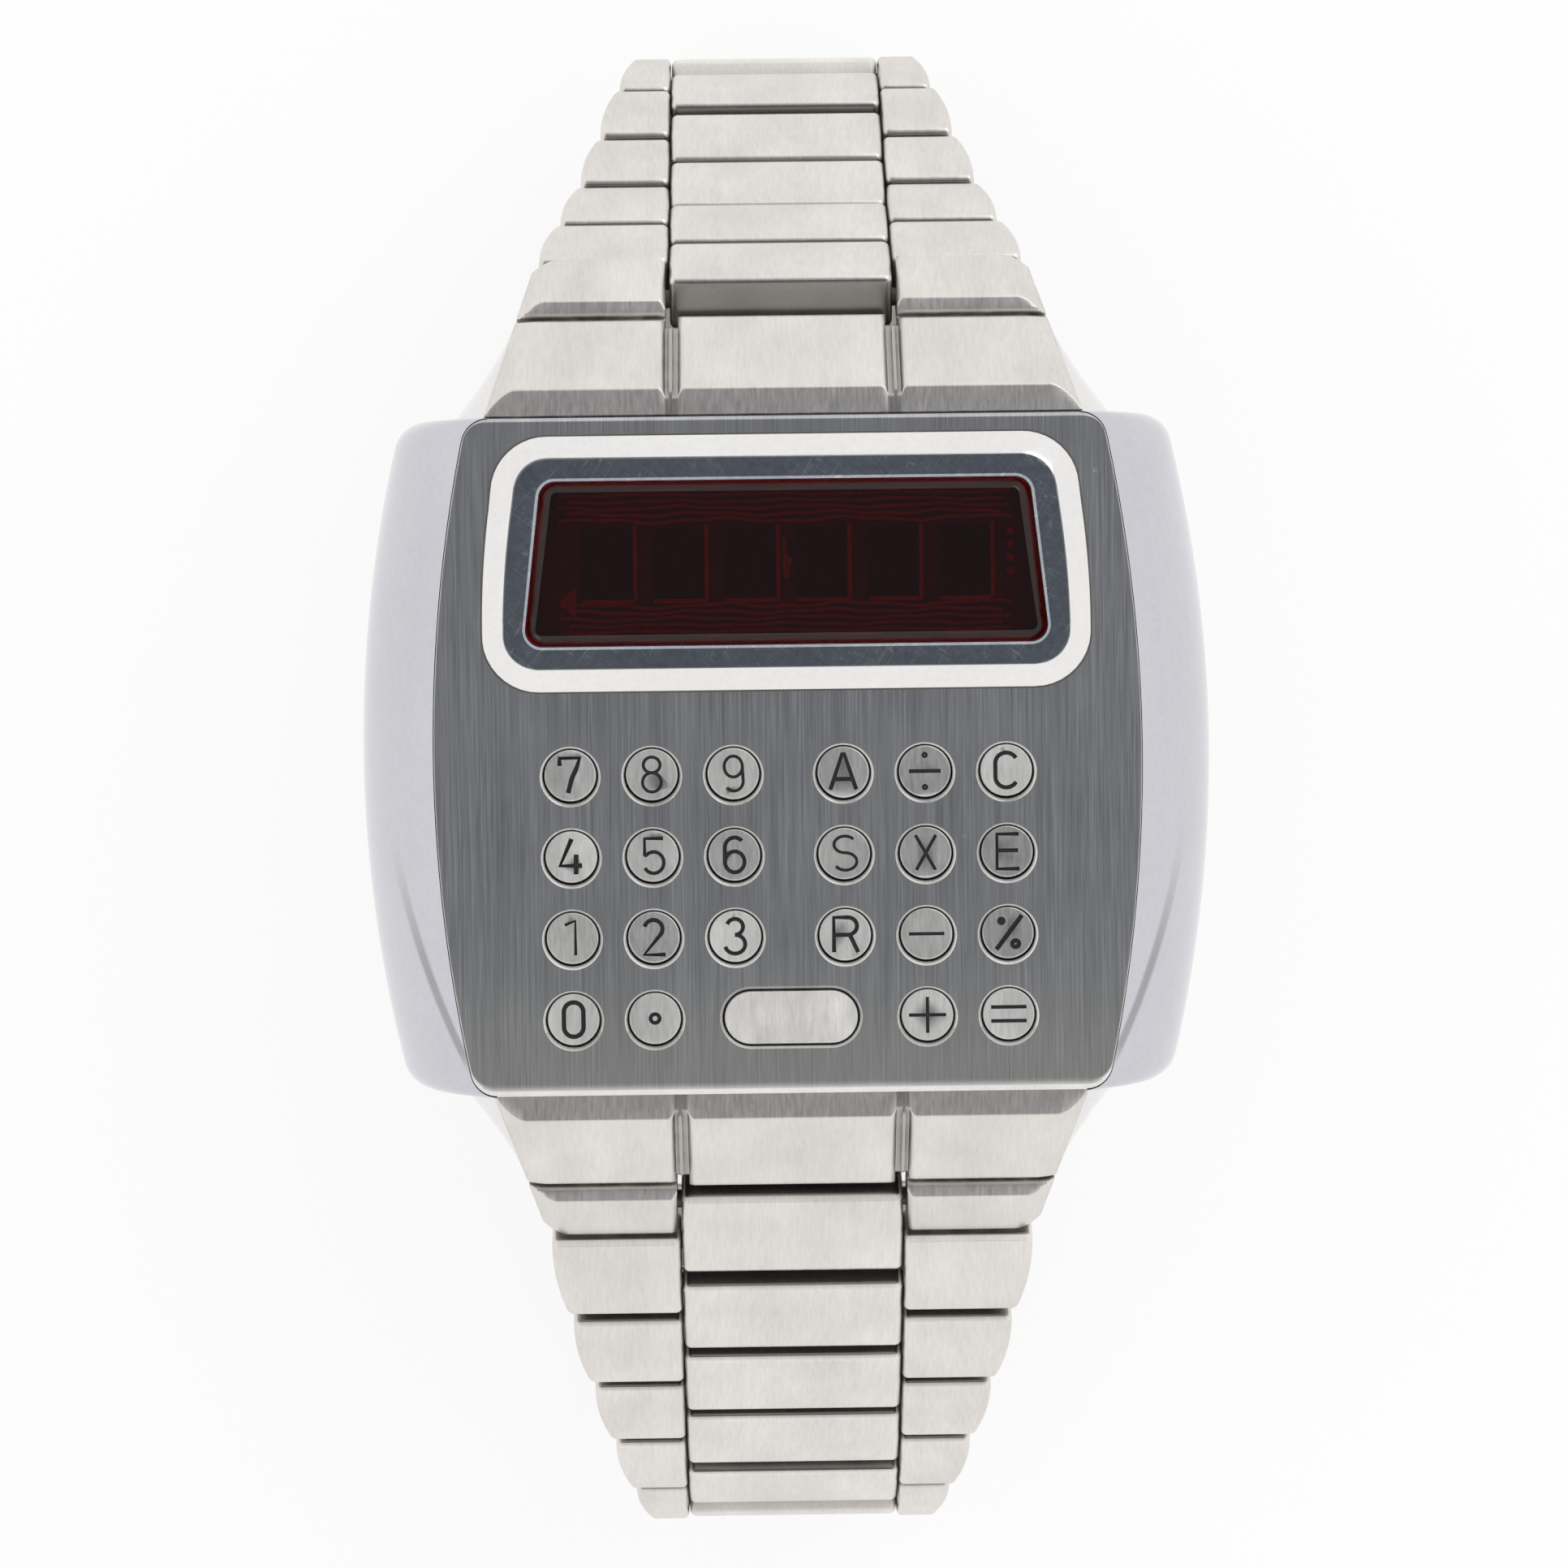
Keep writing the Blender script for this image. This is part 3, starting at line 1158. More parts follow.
class WATCH_OT_display(bpy.types.Operator):
    """Build the display board with its digit chips and printed lines"""
    bl_idname = "watch.display"
    bl_label = "Display board"

    def execute(self, context):
        """Builds the display board."""
        top = BOARD_HIGH.z - 0.2 * MM
        low = top - 0.65 * MM
        middle = Vector(((BOARD_LOW.x + BOARD_HIGH.x) / 2, (WINDOW_LOW.y + WINDOW_HIGH.y) / 2, top))
        half_x, half_y = BOARD_HIGH.x - 0.1 * MM, BOARD_HIGH.y - middle.y
        board = mesh_of(*loft([flat_ring(half_x, middle.y, half_y, 0.3 * MM, z) for z in (low, top)]))
        base = new_object("board_base", board, material("ceramic"))
        lines = new_object("board_lines", mesh_of(*board_prints(middle, half_x)), material("trace"))
        leads = mesh_of(*board_leads(middle.y, half_x, low))
        pins = new_object("board_leads", leads, material("cell_steel"))
        grown(base, digit_tree(), {
            "Centre": middle + Vector((0, 0, 0.1 * MM)), "Chip finish": material("chip"),
            "Line finish": material("trace")})
        joined = joined_mesh([baked(base), lines.data, pins.data])
        for extra in (lines, pins):
            bpy.data.objects.remove(extra)
        finished(new_object("digit_board", joined), CASE, ["display_board"], 20)
        return {"FINISHED"}


def joined_mesh(meshes):
    """One mesh out of several, with their materials kept."""
    finishes = []
    points, faces, indices = [], [], []
    for mesh in meshes:
        start = len(points)
        points += [v.co.copy() for v in mesh.vertices]
        for face in mesh.polygons:
            faces.append(tuple(start + i for i in face.vertices))
            own = mesh.materials[face.material_index]
            if own not in finishes:
                finishes.append(own)
            indices.append(finishes.index(own))
    made = bpy.data.meshes.new("joined")
    made.from_pydata([tuple(p) for p in points], [], faces)
    for one in finishes:
        made.materials.append(one)
    made.polygons.foreach_set("material_index", indices)
    return made


# Keys

def bow(cx, cy, rx, ry, start, end, steps=14):
    """Points on part of an ellipse, from one turn to another in degrees."""
    turns = [math.radians(start + (end - start) * i / steps) for i in range(steps + 1)]
    return [(cx + rx * math.cos(a), cy + ry * math.sin(a)) for a in turns]


def glyph(character):
    """The strokes of a character, in a cell that reaches from -0.5 to 0.5 both ways."""
    shapes = {
        "0": [bow(0, 0.22, 0.43, 0.275, 0, 180) + bow(0, -0.22, 0.43, 0.275, 180, 360) + [(0.43, 0.22)]],
        "1": [[(-0.33, 0.38), (0.13, 0.5), (0.13, -0.49)]],
        "2": [bow(-0.02, 0.24, 0.4, 0.26, 165, -35) + [(-0.44, -0.5), (0.5, -0.5)]],
        "3": [bow(-0.02, 0.27, 0.36, 0.23, 160, -90), bow(-0.02, -0.23, 0.45, 0.27, 90, -165)],
        "4": [[(0.02, 0.52), (-0.5, -0.25), (0.47, -0.25)], [(0.21, 0.07), (0.2, -0.5)]],
        "5": [[(0.46, 0.5), (-0.36, 0.5), (-0.37, 0.03)] + bow(0.03, -0.19, 0.45, 0.31, 138, -150)],
        "6": [bow(0.01, 0.2, 0.43, 0.3, 42, 180) + [(-0.42, -0.2)],
              bow(0.01, -0.2, 0.43, 0.3, 180, 540, 28)],
        "7": [[(-0.46, 0.28), (-0.46, 0.5), (0.42, 0.5), (0.26, 0.18), (0.07, -0.08), (-0.1, -0.5)]],
        "8": [bow(0, 0.275, 0.37, 0.225, -90, 270, 24), bow(0, -0.225, 0.41, 0.275, 90, 450, 28)],
        "9": [bow(0, 0.2, 0.4, 0.3, 0, 360, 28),
              [(0.4, 0.2), (0.43, -0.22)] + bow(0.02, -0.22, 0.41, 0.28, 0, -140)],
        "A": [[(-0.58, -0.5), (-0.05, 0.52), (0.05, 0.52), (0.56, -0.5)], [(-0.42, -0.2), (0.4, -0.2)]],
        "C": [bow(0, 0.2, 0.48, 0.3, 28, 180) + bow(0, -0.2, 0.48, 0.3, 180, 332)],
        "E": [[(0.52, 0.5), (-0.45, 0.5), (-0.45, -0.5), (0.54, -0.5)], [(-0.45, 0.03), (0.48, 0.03)]],
        "R": [[(-0.5, -0.5), (-0.5, 0.5), (0.1, 0.5)] + bow(0.12, 0.25, 0.4, 0.25, 90, -90) + [(-0.5, 0.0)],
              [(0.2, 0.0), (0.56, -0.5)]],
        "S": [bow(0.03, 0.26, 0.48, 0.24, 38, 270) + bow(0.05, -0.23, 0.5, 0.25, 90, -148)],
        "X": [[(-0.45, 0.5), (0.42, -0.5)], [(0.45, 0.5), (-0.42, -0.5)]],
        "-": [[(-0.78, 0), (0.78, 0)]],
        "+": [[(-0.82, 0), (0.82, 0)], [(0, 0.52), (0, -0.52)]],
        "=": [[(-0.78, 0.2), (0.78, 0.2)], [(-0.78, -0.2), (0.78, -0.2)]],
        "÷": [[(-0.7, 0), (0.7, 0)], bow(0, 0.46, 0.06, 0.038, 0, 360, 8),
              bow(0, -0.46, 0.06, 0.038, 0, 360, 8)],
        ".": [bow(0, 0, 0.2, 0.126, 0, 360, 20)],
        "%": [[(0.62, 0.5), (-0.52, -0.48)], bow(-0.29, 0.34, 0.09, 0.058, 0, 360, 16),
              bow(0.33, -0.32, 0.15, 0.095, 0, 360, 16)],
    }
    return shapes[character]


def groove(strokes, centre, width, height, radius):
    """A tube along each stroke, as an engraver's round cutter leaves it."""
    curve = bpy.data.curves.new("groove", "CURVE")
    curve.dimensions = "3D"
    curve.bevel_depth = radius
    curve.bevel_resolution = 2
    curve.use_fill_caps = True
    for stroke in strokes:
        closed = (Vector(stroke[0]) - Vector(stroke[-1])).length < 1e-4
        points = stroke[:-1] if closed else stroke
        spline = curve.splines.new("POLY")
        spline.points.add(len(points) - 1)
        for point, (x, y) in zip(spline.points, points):
            point.co = (centre.x + x * width, centre.y + y * height, centre.z, 1)
        spline.use_cyclic_u = closed
    holder = bpy.data.objects.new("groove", curve)
    bpy.context.scene.collection.objects.link(holder)
    mesh = baked(holder)
    mesh.materials.clear()
    return new_object("groove", mesh, material("key_paint"))


# How thick each character is cut, and how light its key looks
BOLD = {
    "7": 1.35, "8": 0.9, "9": 0.9, "A": 1.2, "÷": 1.1, "C": 1.2,
    "4": 1.35, "5": 1.05, "6": 1.15, "S": 0.88, "X": 0.95, "E": 1.12,
    "1": 0.9, "2": 1.2, "3": 1.15, "R": 1.2, "-": 0.95, "%": 1.3,
    "0": 1.3, ".": 1.1, "+": 0.95, "=": 1.05,
}
LIGHT = {
    "7": 0.6, "8": 0.75, "9": 0.75, "A": 0.45, "÷": 0.35, "C": 1.0,
    "4": 0.95, "5": 0.75, "6": 0.5, "S": 0.6, "X": 0.45, "E": 0.35,
    "1": 0.7, "2": 0.4, "3": 0.95, "R": 0.85, "-": 0.6, "%": 0.35,
    "0": 1.0, ".": 0.8, "+": 1.0, "=": 0.8,
}
OVAL_LIGHT = 1.3


def lit(piece, value):
    """Stores how light a key looks, for its material."""
    shine = piece.data.attributes.new("shine", "FLOAT", "POINT")
    shine.data.foreach_set("value", [value] * len(piece.data.vertices))
    return piece


class WATCH_OT_keys(bpy.types.Operator):
    """Build the round keys with their engraved characters, and the bare oval key"""
    bl_idname = "watch.keys"
    bl_label = "Keys"

    def execute(self, context):
        """Builds every key."""
        sizes = context.scene.watch_keys
        steel = material("key_steel")
        for name, character in ROUND_KEYS.items():
            low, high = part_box(name)
            centre = (low + high) / 2
            centre.z = high.z
            centre.y += KEY_SHIFT
            radius = (high.x - low.x) / 2 - KEY_SHIFT
            cap, foot = radius + KEY_SHIFT - sizes.flange - sizes.play, low.z + sizes.flange_t
            profile = [(radius, low.z), (radius, foot), (cap, foot), (cap, high.z - sizes.edge),
                       (cap - 0.3 * sizes.edge, high.z - 0.3 * sizes.edge), (cap - sizes.edge, high.z)]
            blank = new_object(f"{name}_cap", mesh_of(*lathe(profile, centre, 56)), steel)
            line = sizes.stroke / 2 * BOLD[character]
            tool = groove(glyph(character), centre, sizes.letter_w, sizes.letter_h, line)
            key = carve(lit(blank, LIGHT[character]), tool, transfer=True)
            finished(key, name, [name], 30)
        low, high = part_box("time_button")
        centre = (low + high) / 2
        half_l, half_w = (high.x - low.x) / 2, (high.y - low.y) / 2
        foot = low.z + sizes.flange_t
        inset = sizes.flange + 1.2 * sizes.play
        rings = [oval_ring(half_l - off, half_w - off, centre, z) for off, z in (
            (0, low.z), (0, foot), (inset, foot), (inset, high.z - sizes.edge),
            (inset + 0.3 * sizes.edge, high.z - 0.3 * sizes.edge), (inset + sizes.edge, high.z))]
        oval = lit(new_object("time_button_cap", mesh_of(*loft(rings)), steel), OVAL_LIGHT)
        finished(oval, "time_button", ["time_button"], 30)
        return {"FINISHED"}


# Bracelet

def block_tree():
    """A box with rounded edges and a domed top, made from an evenly divided cube."""
    web, given, out = group(
        "Rounded block", "GeometryNodeTree",
        {"Size": ("vector", (1, 1, 1)), "Edge": ("number", 0.4 * MM), "Crown": ("number", 0.0),
         "Place": ("vector", (0, 0, 0))},
        {"Block": "geometry"})
    count, flat_share = 13, 0.5
    cube = web.add("GeometryNodeMeshCube", {
        "Size": (2, 2, 2), "Vertices X": count, "Vertices Y": count, "Vertices Z": count}).outputs["Mesh"]
    spot = web.add("GeometryNodeInputPosition").outputs[0]
    wide = web.vector("MULTIPLY", spot, (1 / flat_share,) * 3)
    flat = web.vector("MAXIMUM", web.vector("MINIMUM", wide, (1, 1, 1)), (-1, -1, -1))
    rest = web.vector("SUBTRACT", spot, web.vector("MULTIPLY", flat, (flat_share,) * 3))
    turn = web.vector("MULTIPLY", rest, (math.pi / 4 / (1 - flat_share),) * 3)
    ball = web.vector("NORMALIZE", web.vector("TANGENT", turn))
    half = web.grow(given["Size"], 0.5)
    edge = web.join(given["Edge"], given["Edge"], given["Edge"])
    corner = web.vector("MULTIPLY", flat, web.vector("SUBTRACT", half, edge))
    shape = web.vector("ADD", corner, web.vector("MULTIPLY", ball, edge))
    along = web.split(web.vector("DIVIDE", shape, half))
    fall = web.minus(1.0, web.times(along[1], along[1]))
    rise = web.times(web.times(fall, given["Crown"]), web.maths("MAXIMUM", along[2], 0.0))
    final = web.vector("ADD", web.vector("ADD", shape, web.join(0.0, 0.0, rise)), given["Place"])
    web.feed(out["Block"], web.add("GeometryNodeSetPosition", {
        "Geometry": cube, "Position": final}).outputs[0])
    return web.tree


def row_tree():
    """One bracelet row: a centre link, two side links that narrow outwards, and two pins."""
    web, given, out = group(
        "Bracelet row", "GeometryNodeTree",
        {"Base": ("geometry", None), "Width": ("number", 26 * MM), "Centre width": ("number", 12 * MM),
         "Pitch": ("number", 5.5 * MM), "Gap": ("number", 0.43 * MM), "Side gap": ("number", 0.12 * MM),
         "Top": ("number", 1.8 * MM), "Low": ("number", 1.4 * MM), "Edge": ("number", 0.4 * MM),
         "Crown": ("number", 0.1 * MM), "Curve": ("number", 0.8 * MM), "Pin": ("number", 0.5 * MM),
         "Slope": ("number", 0.0), "Turn": ("number", 0.0), "Hinge": ("vector", (0, 0, 0)),
         "Matte": ("number", 1.0), "Dark wall": ("number", 0.0), "Finish": ("material", None)},
        {"Row": "geometry"})
    block = block_tree()
    long = web.minus(given["Pitch"], given["Gap"])
    deep = web.minus(web.plus(given["Top"], given["Low"]), given["Crown"])
    level = web.times(web.minus(web.minus(given["Top"], given["Crown"]), given["Low"]), 0.5)
    quarter = web.times(given["Pitch"], 0.25)
    beside = web.minus(given["Width"], given["Centre width"])
    side_w = web.minus(web.times(beside, 0.5), given["Side gap"])
    side_x = web.minus(web.times(given["Width"], 0.5), web.times(side_w, 0.5))
    side_y = web.times(quarter, 3.0)

    def placed_block(width, x, y):
        """One link of the row."""
        node = web.add("GeometryNodeGroup", node_tree=block)
        web.feed(node.inputs["Size"], web.join(width, long, deep))
        web.feed(node.inputs["Edge"], given["Edge"])
        web.feed(node.inputs["Crown"], given["Crown"])
        web.feed(node.inputs["Place"], web.join(x, y, level))
        return node.outputs[0]

    centre = placed_block(given["Centre width"], 0.0, quarter)
    side = placed_block(side_w, side_x, side_y)
    spot = web.split(web.add("GeometryNodeInputPosition").outputs[0])
    inner = web.minus(side_x, web.times(side_w, 0.5))
    reach = web.over(web.minus(spot[0], inner), side_w)
    start = web.minus(side_y, web.times(long, 0.36))
    past = web.maths("MAXIMUM", web.over(web.minus(spot[1], start), long), 0.0)
    bend = web.times(web.times(past, past), web.times(given["Curve"], -1.35))
    side = web.add("GeometryNodeSetPosition", {
        "Geometry": side, "Offset": web.join(web.times(bend, reach), 0.0, 0.0)}).outputs[0]
    other = web.add("GeometryNodeTransform", {"Geometry": side, "Scale": (-1, 1, 1)}).outputs[0]
    other = web.add("GeometryNodeFlipFaces", {"Mesh": other}).outputs[0]
    pin_l = web.minus(web.minus(given["Width"], web.times(given["Curve"], 2.0)), 1.4 * MM)
    pin = web.add("GeometryNodeMeshCylinder", {
        "Vertices": 16, "Radius": given["Pin"], "Depth": pin_l}).outputs["Mesh"]
    pin = web.add("GeometryNodeTransform", {"Geometry": pin, "Rotation": (0, math.pi / 2, 0)}).outputs[0]
    step = web.join(0.0, web.times(given["Pitch"], 0.5), 0.0)
    pin_points = web.add("GeometryNodeMeshLine", {
        "Count": 2, "Start Location": step, "Offset": step}).outputs[0]
    pins = web.add("GeometryNodeInstanceOnPoints", {"Points": pin_points, "Instance": pin}).outputs[0]
    real = web.add("GeometryNodeRealizeInstances", {
        "Geometry": web.joined(centre, side, other, pins)}).outputs[0]
    grain = web.add("GeometryNodeStoreNamedAttribute", {
        "Geometry": real, "Name": "grain", "Value": web.add("GeometryNodeInputPosition").outputs[0]},
        data_type="FLOAT_VECTOR", domain="POINT").outputs[0]
    facing = web.split(web.add("GeometryNodeInputNormal").outputs[0])[1]
    wall = web.times(web.fit(facing, -0.8, -0.92), given["Dark wall"])
    bare = web.maths("MAXIMUM", web.minus(given["Matte"], wall), 0.0)
    dull = web.times(web.fit(facing, -0.12, -0.4), bare)
    for name, value in (("matte", dull), ("shine", web.times(wall, -0.55))):
        grain = web.add("GeometryNodeStoreNamedAttribute", {
            "Geometry": grain, "Name": name, "Value": value}, data_type="FLOAT", domain="FACE").outputs[0]
    turned = web.add("GeometryNodeTransform", {
        "Geometry": grain, "Rotation": web.join(given["Slope"], 0.0, given["Turn"]),
        "Translation": given["Hinge"]}).outputs[0]
    real = web.add("GeometryNodeRealizeInstances", {
        "Geometry": web.joined(turned, given["Base"])}).outputs[0]
    web.feed(out["Row"], web.add("GeometryNodeSetMaterial", {
        "Geometry": real, "Material": given["Finish"]}).outputs[0])
    return web.tree


def hinge_of(body):
    """Where a body's hinge is."""
    return Vector(JOINTS[body]["pos_m"])


def chain(side):
    """The hinge points of one half of the bracelet, from the case to the clasp."""
    points = [hinge_of(f"{side}_row_{k}") for k in range(1, ROWS + 1)]
    clasp = hinge_of("base_blade")
    if side == "upper":
        clasp = Vector((0, COVER_HIGH.y - 1.1 * MM, clasp.z))
    return points + [clasp]


class WATCH_OT_bracelet(bpy.types.Operator):
    """Build the bracelet's rows of links"""
    bl_idname = "watch.bracelet"
    bl_label = "Bracelet"

    def execute(self, context):
        """Builds every row."""
        sizes = context.scene.watch_links
        tree = row_tree()
        steel = material("satin_steel")
        for side, turn in (("upper", 0.0), ("lower", math.pi)):
            points = chain(side)
            for k in range(1, ROWS + 1):
                name = f"{side}_row_{k}"
                shown = k <= OPEN_ROWS
                start, end = points[k - 1], points[k]
                low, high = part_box(name)
                run = abs(end.y - start.y) * (1 if abs(end.y) > abs(start.y) else -1)
                base = new_object(f"{name}_links", bpy.data.meshes.new(name))
                grown(base, tree, {
                    "Width": high.x - low.x, "Centre width": sizes.centre_w, "Pitch": (end - start).length,
                    "Gap": sizes.gap, "Side gap": sizes.side_gap, "Top": sizes.top, "Low": sizes.low,
                    "Edge": sizes.edge, "Crown": sizes.crown,
                    "Curve": sizes.curve if shown else HIDDEN_CURVE,
                    "Pin": sizes.pin_r, "Slope": math.atan2(end.z - start.z, run), "Turn": turn,
                    "Hinge": start, "Finish": steel,
                    "Matte": 0.0 if shown and side == "upper" else DULL,
                    "Dark wall": 1.0 if shown else 0.0})
                finished(base, name, [name], 50)
        return {"FINISHED"}


# End links, in millimetres: u runs away from the case and z up from the dial

HINGE_U, HINGE_Z = 24.63, -9.8  # the first row's hinge
KNUCKLE = 1.45  # radius of an arm's end around that hinge
HOLLOW = 1.75  # radius of the centre block's hollow around it
TURN = math.sqrt(0.5)
START, FOOT = 18.0, -10.7  # the end at the case and the underside
TOP, CREST = -2.35, 19.5  # the blocks' tops, and where they turn into the slope
ARM_TOP, ARM_CREST = -7.1, 24.43  # the same for the arms
ARM_RISE = 1.77  # height of an arm's sloping face above the hinge
GROOVE, CENTRE_EDGE = 6.28, 5.58  # inner edge of a side block and outer edge of the centre block


def fallen(u, level, start, drop):
    """Height of a ledge that turns into a slope of 45 degrees, where the slope has sunk by a drop."""
    depth = u - start + drop
    return level - (depth + math.hypot(depth, 0.1)) / 2


def block_top(u, drop):
    """Height of a block's top."""
    return fallen(u, TOP, CREST, drop)


def arm_top(u, drop):
    """Height of an arm's ledge."""
    return fallen(u, ARM_TOP, ARM_CREST, drop)


def on_arm(a, b):
    """A point along and above an arm, measured from the first hinge."""
    return HINGE_U + (a + b) * TURN, HINGE_Z + (b - a) * TURN


def block_points(drop, end):
    """Upper outline of a block, from the case to an end."""
    soft = ((START, 0.2), (18.03, 0.08), (18.1, 0.01))
    points = [(START, FOOT)] + [(u, block_top(18.1, drop) - low) for u, low in soft]
    edge = max(18.3, CREST - drop)
    for u in (edge - 0.12, edge - 0.04, edge + 0.04, edge + 0.12, 20.4, 21.3, 22.2, end - 0.16):
        points.append((u, block_top(u, drop)))
    level = block_top(end, drop)
    return points + [(end - 0.06, level + 0.03), (end, level - 0.15)]


def arm_points(drop, tip):
    """Outline of a side block and its arm."""
    points = block_points(drop, 23.3)
    points += [(u, low - 0.4 * drop) for u, low in ((23.31, -7.36), (23.37, -7.48), (23.44, -7.5))]
    rim = ((23.48, 0.35), (23.53, 0.18), (23.62, 0.07), (23.75, 0.015), (23.85, 0.0))
    points += [(u, arm_top(u, drop) - low) for u, low in rim]
    edge = max(24.0, ARM_CREST - drop)
    points += [(u, arm_top(u, drop)) for u in (edge - 0.1, edge - 0.03, edge + 0.04, edge + 0.12)]
    top = ARM_RISE - drop * TURN
    points += [on_arm(a, top) for a in (-1.2, -0.4, 0.3)]
    soft = 0.2
    for turn in (90, 65, 40, 15, 0):
        turn = math.radians(turn)
        points.append(on_arm(tip - soft + soft * math.cos(turn), top - soft + soft * math.sin(turn)))
    start = -math.acos(tip / KNUCKLE)
    for i in range(7):
        turn = start + (-math.pi / 2 - start) * i / 6
        points.append(on_arm(KNUCKLE * math.cos(turn), KNUCKLE * math.sin(turn)))
    return points + [(22.63, FOOT)]


def centre_points(drop):
    """Outline of the centre block, with its hollow for the first centre link."""
    points = block_points(drop, 23.5)
    for turn in (130, 146, 162, 178, 194, 211):
        turn = math.radians(turn)
        points.append((HINGE_U + HOLLOW * math.cos(turn), HINGE_Z + HOLLOW * math.sin(turn)))
    return points


def floor_points(drop):
    """Outline of the strip between two blocks."""
    end = 22.9
    return block_points(drop, end) + [(end, FOOT)]


def wing(u):
    """Half the width of an end link at a distance from the case."""
    return 15.9 - END_LEAN * (u - START)


# Steps inwards over the blocks' rounded edges, and how deep their surface sinks there
INNER_SOFT = (0.0, 0.05, 0.11, 0.18, 0.26, 0.36)
INNER_REACH, INNER_DEPTH = INNER_SOFT[-1], 0.45
OUTER_SOFT = (1.3, 1.05, 0.8, 0.58, 0.38, 0.22, 0.1, 0.0)
OUTER_REACH, OUTER_DEPTH = OUTER_SOFT[0], 1.3


def sunk(distance, reach, deepest):
    """How far a surface has sunk at a distance from its edge."""
    return deepest * max(0.0, 1 - distance / reach) ** 2


def end_solids(tip):
    """The solids of an end link as rings of points in X, u and z. tip is how far its arms reach."""
    side, centre = [], []
    for off in INNER_SOFT:
        drop = sunk(off, INNER_REACH, INNER_DEPTH)
        side.append([(GROOVE + off, u, z) for u, z in arm_points(drop, tip)])
        centre.append([(-CENTRE_EDGE + off, u, z) for u, z in centre_points(drop)])
    for off in OUTER_SOFT:
        drop = sunk(off, OUTER_REACH, OUTER_DEPTH)
        side.append([(wing(u) - off, u, z) for u, z in arm_points(drop, tip)])
    mirrored = [[(-x, u, z) for x, u, z in ring] for ring in side]
    centre += [[(-x, u, z) for x, u, z in ring] for ring in reversed(centre)]
    solids = [side, mirrored, centre]
    for sign in (-1, 1):
        for low, high, drop in ((5.5, 6.35, 0.5), (5.9, 6.06, 0.16)):
            solids.append([[(sign * x, u, z) for u, z in floor_points(drop)] for x in (low, high)])
    turns = [i * math.pi / 8 for i in range(16)]
    pin = [(HINGE_U + 0.5 * math.cos(a), HINGE_Z + 0.5 * math.sin(a)) for a in turns]
    solids.append([[(x, u, z) for u, z in pin] for x in (-11, 11)])
    return solids


class WATCH_OT_end_links(bpy.types.Operator):
    """Build the two end links with their blocks, grooves and arms"""
    bl_idname = "watch.end_links"
    bl_label = "End links"

    def execute(self, context):
        """Builds both end links."""
        for side, sign, tip in (("upper", 1, 1.45), ("lower", -1, 0.95)):
            parts = []
            for rings in end_solids(tip):
                parts.append(loft([[Vector((x * MM, sign * u * MM, DIAL + z * MM)) for x, u, z in ring]
                                   for ring in rings]))
            piece = new_object(f"{side}_end_block", mesh_of(*merged(parts)), material("satin_end"))
            shades = []
            for face in piece.data.polygons:
                in_groove = 5.6 * MM < abs(face.center.x) < 6.26 * MM
                shades.append(-0.4 if in_groove else 0.0)
            piece.data.attributes.new("shine", "FLOAT", "FACE").data.foreach_set("value", shades)
            finished(piece, CASE, [f"{side}_end_link"], 34)
        return {"FINISHED"}


# What keeps its solid shape: its finish, and the rounding of its edges in millimetres

SOLIDS = {
    "key_mat": ("mat_rubber", 0.08),
    "circuit_board": ("board_green", 0.05),
    "movement_frame": ("frame_plastic", 0.1),
    "button_cells": ("cell_steel", 0.12),
    "back_gasket": ("gasket_rubber", 0.06),
    "case_back": ("back_steel", 0.12),
    "back_screws": ("cell_steel", 0.06),
    "base_blade": ("back_steel", 0.12),
    "fold_blade": ("back_steel", 0.12),
    "clasp_cover": ("back_steel", 0.14),
}


def refined(name, finish, edge):
    """A copy of a solid part with clean faces and rounded edges."""
    source = frame["nodes"][name]
    soup = bmesh.new()
    soup.from_mesh(source.data)
    soup.transform(source.matrix_world)
    bmesh.ops.remove_doubles(soup, verts=soup.verts, dist=2e-6)
    bmesh.ops.dissolve_limit(soup, angle_limit=math.radians(1), verts=soup.verts, edges=soup.edges)
    mesh = bpy.data.meshes.new(name)
    soup.to_mesh(mesh)
    soup.free()
    piece = new_object(f"{name}_form", mesh, material(finish))
    bevel(piece, edge, 40)
    return piece


class WATCH_OT_inside(bpy.types.Operator):
    """Build the movement, the case back and the folding clasp"""
    bl_idname = "watch.inside"
    bl_label = "Movement, back and clasp"

    def execute(self, context):
        """Builds each of these parts."""
        for name, (finish, edge) in SOLIDS.items():
            body = name if name in frame["bodies"] else CASE
            finished(refined(name, finish, edge * MM), body, [name], 35)
        return {"FINISHED"}


# Stage

